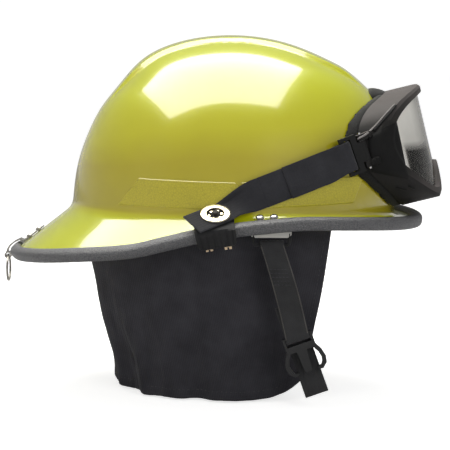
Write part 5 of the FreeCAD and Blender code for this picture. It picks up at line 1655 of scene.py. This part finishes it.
for side, tag in ((-1, "right"), (1, "left")):
    v, f = clamp_body(side)
    ax = STUD_N if side < 0 else mir(STUD_N)
    so = stud_pt(0, 0, 0, side)
    bv, bf, _, _ = revolve([(2.4, -4.6), (11.6, -4.6), (12.1, -4.2), (12.1, -2.6), (11.7, -2.08), (2.4, -2.08)], so, ax, 48)
    v, f = merge([(v, f), (bv, bf)])
    put(autosmooth(mesh_obj("clamp_body_" + tag, v, f), 40), "clamp_plastic", "helmet", ["goggle_clamp_" + tag])
    body_ = "strap_end_" + tag
    ring_prof = [(6.9, 0.62), (6.6, 0.9), (6.6, 1.75), (6.9, 2.1), (7.6, 2.25), (10.6, 2.15), (11.5, 1.85), (11.95, 1.3),
                 (11.9, 0.75), (11.4, 0.62)]
    parts_ = []
    rv, rf, ex, ey = revolve(ring_prof + [ring_prof[0]], so, ax, 64)
    rf = rf[:-2]
    parts_.append((rv, rf))
    for k in range(6):
        a0 = 2 * PI * k / 6 + 0.25
        pet = []
        for (r0, hw, h0, h1) in ((3.7, 0.14, -0.3, 0.3), (4.3, 0.24, -0.3, 0.6), (5.2, 0.24, -0.3, 0.8), (5.8, 0.14, -0.3, 0.7)):
            for sgn, hh in ((-1, h0), (-1, h1 - 0.15), (0, h1 + 0.1), (1, h1 - 0.15), (1, h0)):
                a = a0 + sgn * hw
                p = add(add(so, ex, r0 * math.cos(a)), ey, r0 * math.sin(a))
                pet.append(add(p, ax, hh))
        fc = []
        for i in range(3):
            for j in range(5):
                p0, p1 = i * 5 + j, i * 5 + (j + 1) % 5
                fc.append((p0, p1, p1 + 5, p0 + 5))
        fc += [(4, 3, 2, 1, 0), (15, 16, 17, 18, 19)]
        parts_.append((pet, fc))
    v, f = merge(parts_)
    put(autosmooth(mesh_obj("grommet_ring_" + tag, v, f), 40), "grommet_brass", body_, ["grommet_" + tag])
    cv, cf, _, _ = revolve([(2.95, -1.45), (3.95, -1.45), (4.1, -0.9), (6.85, -0.2), (7.0, 0.9), (6.7, 0.9), (6.5, 0.1), (2.95, -0.55),
                            (2.95, -1.45)], so, ax, 48)
    cf = cf[:-2]
    put(autosmooth(mesh_obj("grommet_cup_" + tag, cv, cf), 40), "grommet_brass", body_, (), MATS["cup_dark"])

# slotted heads under the clamps
parts_ = []
for side in (-1, 1):
    for x in CLAMP_SCREW_X:
        f_ = frame(theta_at(x, -1))
        p = loc(f_, -0.8, -9.35)
        ax = (-f_[2][0], -f_[2][1], -f_[2][2])
        ex = f_[3]
        if side > 0:
            p, ax, ex = mir(p), mir(ax), mir(ex)
        ey = cross(ax, ex)
        v, f, _, _ = revolve([(1.55, -3.5), (1.6, 0.02), (2.8, 0.05), (3.0, 0.4), (3.0, 3.0), (2.8, 3.5), (0.4, 3.55)], p, ax, 24)
        parts_.append((v, f))
        for g in (-1, 1):
            x0, x1 = (0.72, 2.75) if g > 0 else (-2.75, -0.72)
            parts_.append(bar_mesh(p, ex, ey, ax, x0, x1, -1.7, 1.7, 3.3, 6.3, 0.3))
v, f = merge(parts_)
put(autosmooth(mesh_obj("clamp_screw_heads", v, f), 35), "screw_brass", "helmet", ["clamp_screws"])

# ------------------------------------------- side panels of the goggles
_bv, _bf = [], []
for _n in ("goggle_frame", "goggle_lens"):
    _o = frame_["nodes"][_n]
    _k = len(_bv)
    _bv += [_o.matrix_world @ q.co for q in _o.data.vertices]
    _bf += [tuple(q + _k for q in p.vertices) for p in _o.data.polygons]
_tree = BVHTree.FromPolygons(_bv, _bf)
EYE = Vector((-0.0077, -1.3, 0.130))


def on_goggles(u, w, off):
    """Point on the right side of the goggles in the sight line of side-view
    place (u, w), lifted off the surface."""
    p0 = Vector(((-7.7 + (u - 225) * 0.858) * S, 0.0, (130 - (w - 65.5) * 0.858) * S))
    d = (p0 - EYE).normalized()
    h = _tree.ray_cast(EYE, d)
    if h[0] is None:
        return None
    n = h[1]
    if n.dot(d) > 0:
        n = -n
    q = h[0] - d * (off * S * 0.6) + n * (off * S * 0.4)
    return tuple(c / S for c in q)


def goggle_patch(name, quad, nu, nv, hi, lo, mat, bulge=0.0):
    """Sheet laid on the goggles over a four-sided side-view area."""
    grids = []
    for off in (hi, lo):
        g = []
        for i in range(nv + 1):
            row = []
            for j in range(nu + 1):
                u, w = j / nu, i / nv
                x = (quad[0][0] * (1 - u) + quad[1][0] * u) * (1 - w) + (quad[3][0] * (1 - u) + quad[2][0] * u) * w
                y = (quad[0][1] * (1 - u) + quad[1][1] * u) * (1 - w) + (quad[3][1] * (1 - u) + quad[2][1] * u) * w
                y -= bulge * math.sin(PI * u) * (1 - w)
                e = min(min(u, 1 - u) * 30, min(w, 1 - w) * 30)
                h = off if off == lo else lo + (hi - lo) * (0.35 + 0.65 * smooth01(e / 2.2))
                row.append(on_goggles(x, y, h))
            g.append(row)
        grids.append(g)
    for g in grids:
        for r_ in g:
            for j, p in enumerate(r_):
                if p is None:
                    near = [(abs(k - j), k) for k in range(len(r_)) if r_[k] is not None]
                    if not near:
                        return
                    r_[j] = r_[min(near)[1]]
    for side, tag in ((-1, "right"), (1, "left")):
        ga, gb = grids
        if side > 0:
            ga = [[mir(p) for p in r_[::-1]] for r_ in ga]
            gb = [[mir(p) for p in r_[::-1]] for r_ in gb]
        v, f = sheet_solid(ga, gb)
        put(autosmooth(mesh_obj(name + "_" + tag, v, f), 50), "goggle_rubber", "goggles", (), mat)


def goggle_cord(name, pts, r, off, mat):
    """Round cord laid along a side-view line."""
    fine = []
    for i in range(len(pts) - 1):
        for k in range(8):
            t = k / 8
            fine.append(on_goggles(pts[i][0] * (1 - t) + pts[i + 1][0] * t, pts[i][1] * (1 - t) + pts[i + 1][1] * t, off))
    fine = [p for p in fine if p]
    for _ in range(6):
        fine = [fine[0]] + [comb((fine[i - 1], fine[i], fine[i + 1]), (0.25, 0.5, 0.25)) for i in range(1, len(fine) - 1)] + [fine[-1]]
    if len(fine) < 4:
        return
    for side, tag in ((-1, "right"), (1, "left")):
        cen = fine if side < 0 else [mir(p) for p in fine]
        frs = []
        for i in range(len(cen)):
            t = unit(sub(cen[min(i + 1, len(cen) - 1)], cen[max(i - 1, 0)]))
            e1 = unit(cross((0, 1, 0), t))
            frs.append((e1, cross(t, e1)))
        sec_ = [(r * math.cos(2 * PI * k / 10), r * math.sin(2 * PI * k / 10)) for k in range(10)]
        v, f = section_strip(cen, frs, sec_)
        put(mesh_obj(name + "_" + tag, v, f), "goggle_rubber", "goggles", (), mat)


goggle_patch("goggle_side_panel", [(367, 137), (395.5, 122.5), (408, 179), (371, 172)], 26, 26, 1.3, 0.25, MATS["goggle_panel"], 1.0)
goggle_patch("goggle_vent_a", [(396, 186), (406.5, 189), (406, 191), (395.5, 188)], 10, 4, 0.8, 0.2, MATS["goggle_panel"])
goggle_patch("goggle_vent_b", [(408, 184.5), (415, 188), (414, 190), (407.5, 186.8)], 10, 4, 0.8, 0.2, MATS["goggle_panel"])
def foam_tab():
    """Rounded tab of the face foam that stands up behind the top wall."""
    rings = []
    n_r, n_c = 16, 24
    for i in range(n_r + 1):
        y = -27.0 + 54.0 * i / n_r
        k = math.sqrt(max(1 - (y / 27.0) ** 4, 0.03))
        r_ = []
        for j in range(n_c):
            a = 2 * PI * j / n_c
            la = 8.6 * k * math.copysign(abs(math.cos(a)) ** 0.75, math.cos(a))
            lb = 4.6 * k * math.copysign(abs(math.sin(a)) ** 0.85, math.sin(a))
            r_.append((122.0 - 0.010 * y * y + la, y, 105.0 - 0.004 * y * y + lb - 0.22 * la))
        rings.append(r_)
    v = [p for r_ in rings for p in r_]
    f = [(i * n_c + j, i * n_c + (j + 1) % n_c, (i + 1) * n_c + (j + 1) % n_c, (i + 1) * n_c + j)
         for i in range(n_r) for j in range(n_c)]
    f.append(tuple(range(n_c))[::-1])
    f.append(tuple(n_r * n_c + j for j in range(n_c)))
    put(mesh_obj("goggle_foam_tab", v, f), "goggle_foam", "goggles")


foam_tab()
# light grey cord laid along the edge above the side panel
goggle_cord("goggle_piping", [(357, 139), (366, 134), (375, 125.5), (384, 115), (390, 108.5), (394, 104.5)], 0.75, 0.6,
            MATS["goggle_edge"])
goggle_cord("goggle_slit", [(373, 131), (381, 122), (389, 113), (395, 105)], 1.0, 0.35, MATS["goggle_panel"])

# ------------------------------------------------------------- hanging ring
coil, fr_ = [], []
n_ = 160
for i in range(n_ + 1):
    a = 4 * PI * i / n_
    q = i / n_
    x = TUBE[0] + 0.62 * (2 * smooth01(q) - 1) * 1.0
    coil.append((x, RING_R * math.sin(a), TUBE[2] - RING_R + RING_R * math.cos(a)))
    fr_.append(((1.0, 0, 0), (0.0, math.sin(a), math.cos(a))))
sec_ = [(0.56 * math.cos(2 * PI * k / 10), 0.95 * math.sin(2 * PI * k / 10)) for k in range(10)]
v, f = section_strip(coil, fr_, sec_)
put(mesh_obj("split_ring_coil", v, f), "ring_steel", "ring", ["hanging_ring"])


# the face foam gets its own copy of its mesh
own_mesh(face_foam_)

# ------------------------------------------------------------------- stage
def area(name, loc_, aim, size_x, size_y, power, color=(1, 1, 1)):
    li = bpy.data.lights.new(name, "AREA")
    li.shape = "RECTANGLE"
    li.size, li.size_y = size_x, size_y
    li.energy = power
    li.color = color
    ob = bpy.data.objects.new(name, li)
    ob.location = loc_
    ob.rotation_mode = "QUATERNION"
    ob.rotation_quaternion = (Vector(aim) - Vector(loc_)).to_track_quat("-Z", "Y")
    bpy.context.scene.collection.objects.link(ob)
    return ob


lo_, hi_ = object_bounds()
me = bpy.data.meshes.new("floor")
r_ = 40.0
zf = lo_[2] - 0.0012
me.from_pydata([(-r_, -r_, zf), (r_, -r_, zf), (r_, r_, zf), (-r_, r_, zf)], [], [(0, 1, 2, 3)])
floor = bpy.data.objects.new("floor", me)
bpy.context.scene.collection.objects.link(floor)
fm, fnt, fb = base_mat("floor_pale", (0.90, 0.90, 0.90), 0.9, spec=0.0)
fb.inputs["Emission Color"].default_value = (1, 1, 1, 1)
flp = fnt.nodes.new("ShaderNodeLightPath")
fnt.links.new(math_node(fnt, "MULTIPLY", flp.outputs["Is Camera Ray"], 0.70), fb.inputs["Emission Strength"])
me.materials.append(fm)
floor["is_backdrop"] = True

w_ = bpy.data.worlds.new("studio")
bpy.context.scene.world = w_
w_.use_nodes = True
nt_ = w_.node_tree
bg = nt_.nodes["Background"]
tc = nt_.nodes.new("ShaderNodeTexCoord")
sp = nt_.nodes.new("ShaderNodeSeparateXYZ")
nt_.links.new(tc.outputs["Generated"], sp.inputs[0])
rampc = ramp(nt_, math_node(nt_, "ADD", math_node(nt_, "MULTIPLY", sp.outputs["Z"], 0.5), 0.5),
             [(0.0, (0.75, 0.75, 0.75)), (0.5, (0.95, 0.95, 0.95)), (0.62, (0.60, 0.60, 0.60)), (1.0, (0.50, 0.50, 0.50))])
lp = nt_.nodes.new("ShaderNodeLightPath")
mixc = nt_.nodes.new("ShaderNodeMixRGB")
nt_.links.new(lp.outputs["Is Camera Ray"], mixc.inputs["Fac"])
nt_.links.new(rampc, mixc.inputs["Color1"])
mixc.inputs["Color2"].default_value = (1.7, 1.7, 1.7, 1)
nt_.links.new(mixc.outputs["Color"], bg.inputs["Color"])
bg.inputs["Strength"].default_value = 0.62
area("softbox_top", (-0.08, 0.55, 1.15), (-0.02, 0.0, 0.05), 0.95, 0.9, 14.0, (1.0, 0.985, 0.95)).visible_glossy = False
gl_ = area("softbox_reflection", (-0.25, -0.04, 1.10), (-0.25, -0.04, 0.10), 1.50, 1.32, 48.0, (1.0, 0.985, 0.93))
gl_.visible_diffuse = False
gl_.visible_transmission = False
area("fill_front", (0.9, -1.5, 0.7), (0, 0, 0), 0.8, 0.8, 7.0).visible_glossy = False
area("fill_left", (-1.4, -0.9, 0.45), (0, 0, 0), 0.7, 0.9, 4.0, (1.0, 0.98, 0.94)).visible_glossy = False

cam = bpy.data.cameras.new("camera")
cam.lens = 121.9
cam.sensor_width = 36.0
cam.clip_start, cam.clip_end = 0.05, 100.0
cam_ob = bpy.data.objects.new("camera", cam)
bpy.context.scene.collection.objects.link(cam_ob)
cam_ob.location = (-0.0077, -1.3, 0.130)
aim_ = Vector((-0.0077, 0.0, -0.0069))
cam_ob.rotation_mode = "QUATERNION"
cam_ob.rotation_quaternion = (aim_ - cam_ob.location).to_track_quat("-Z", "Y")
bpy.context.scene.camera = cam_ob
try:
    bpy.context.scene.view_settings.view_transform = "Standard"
except TypeError:
    pass

lo_, hi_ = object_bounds()
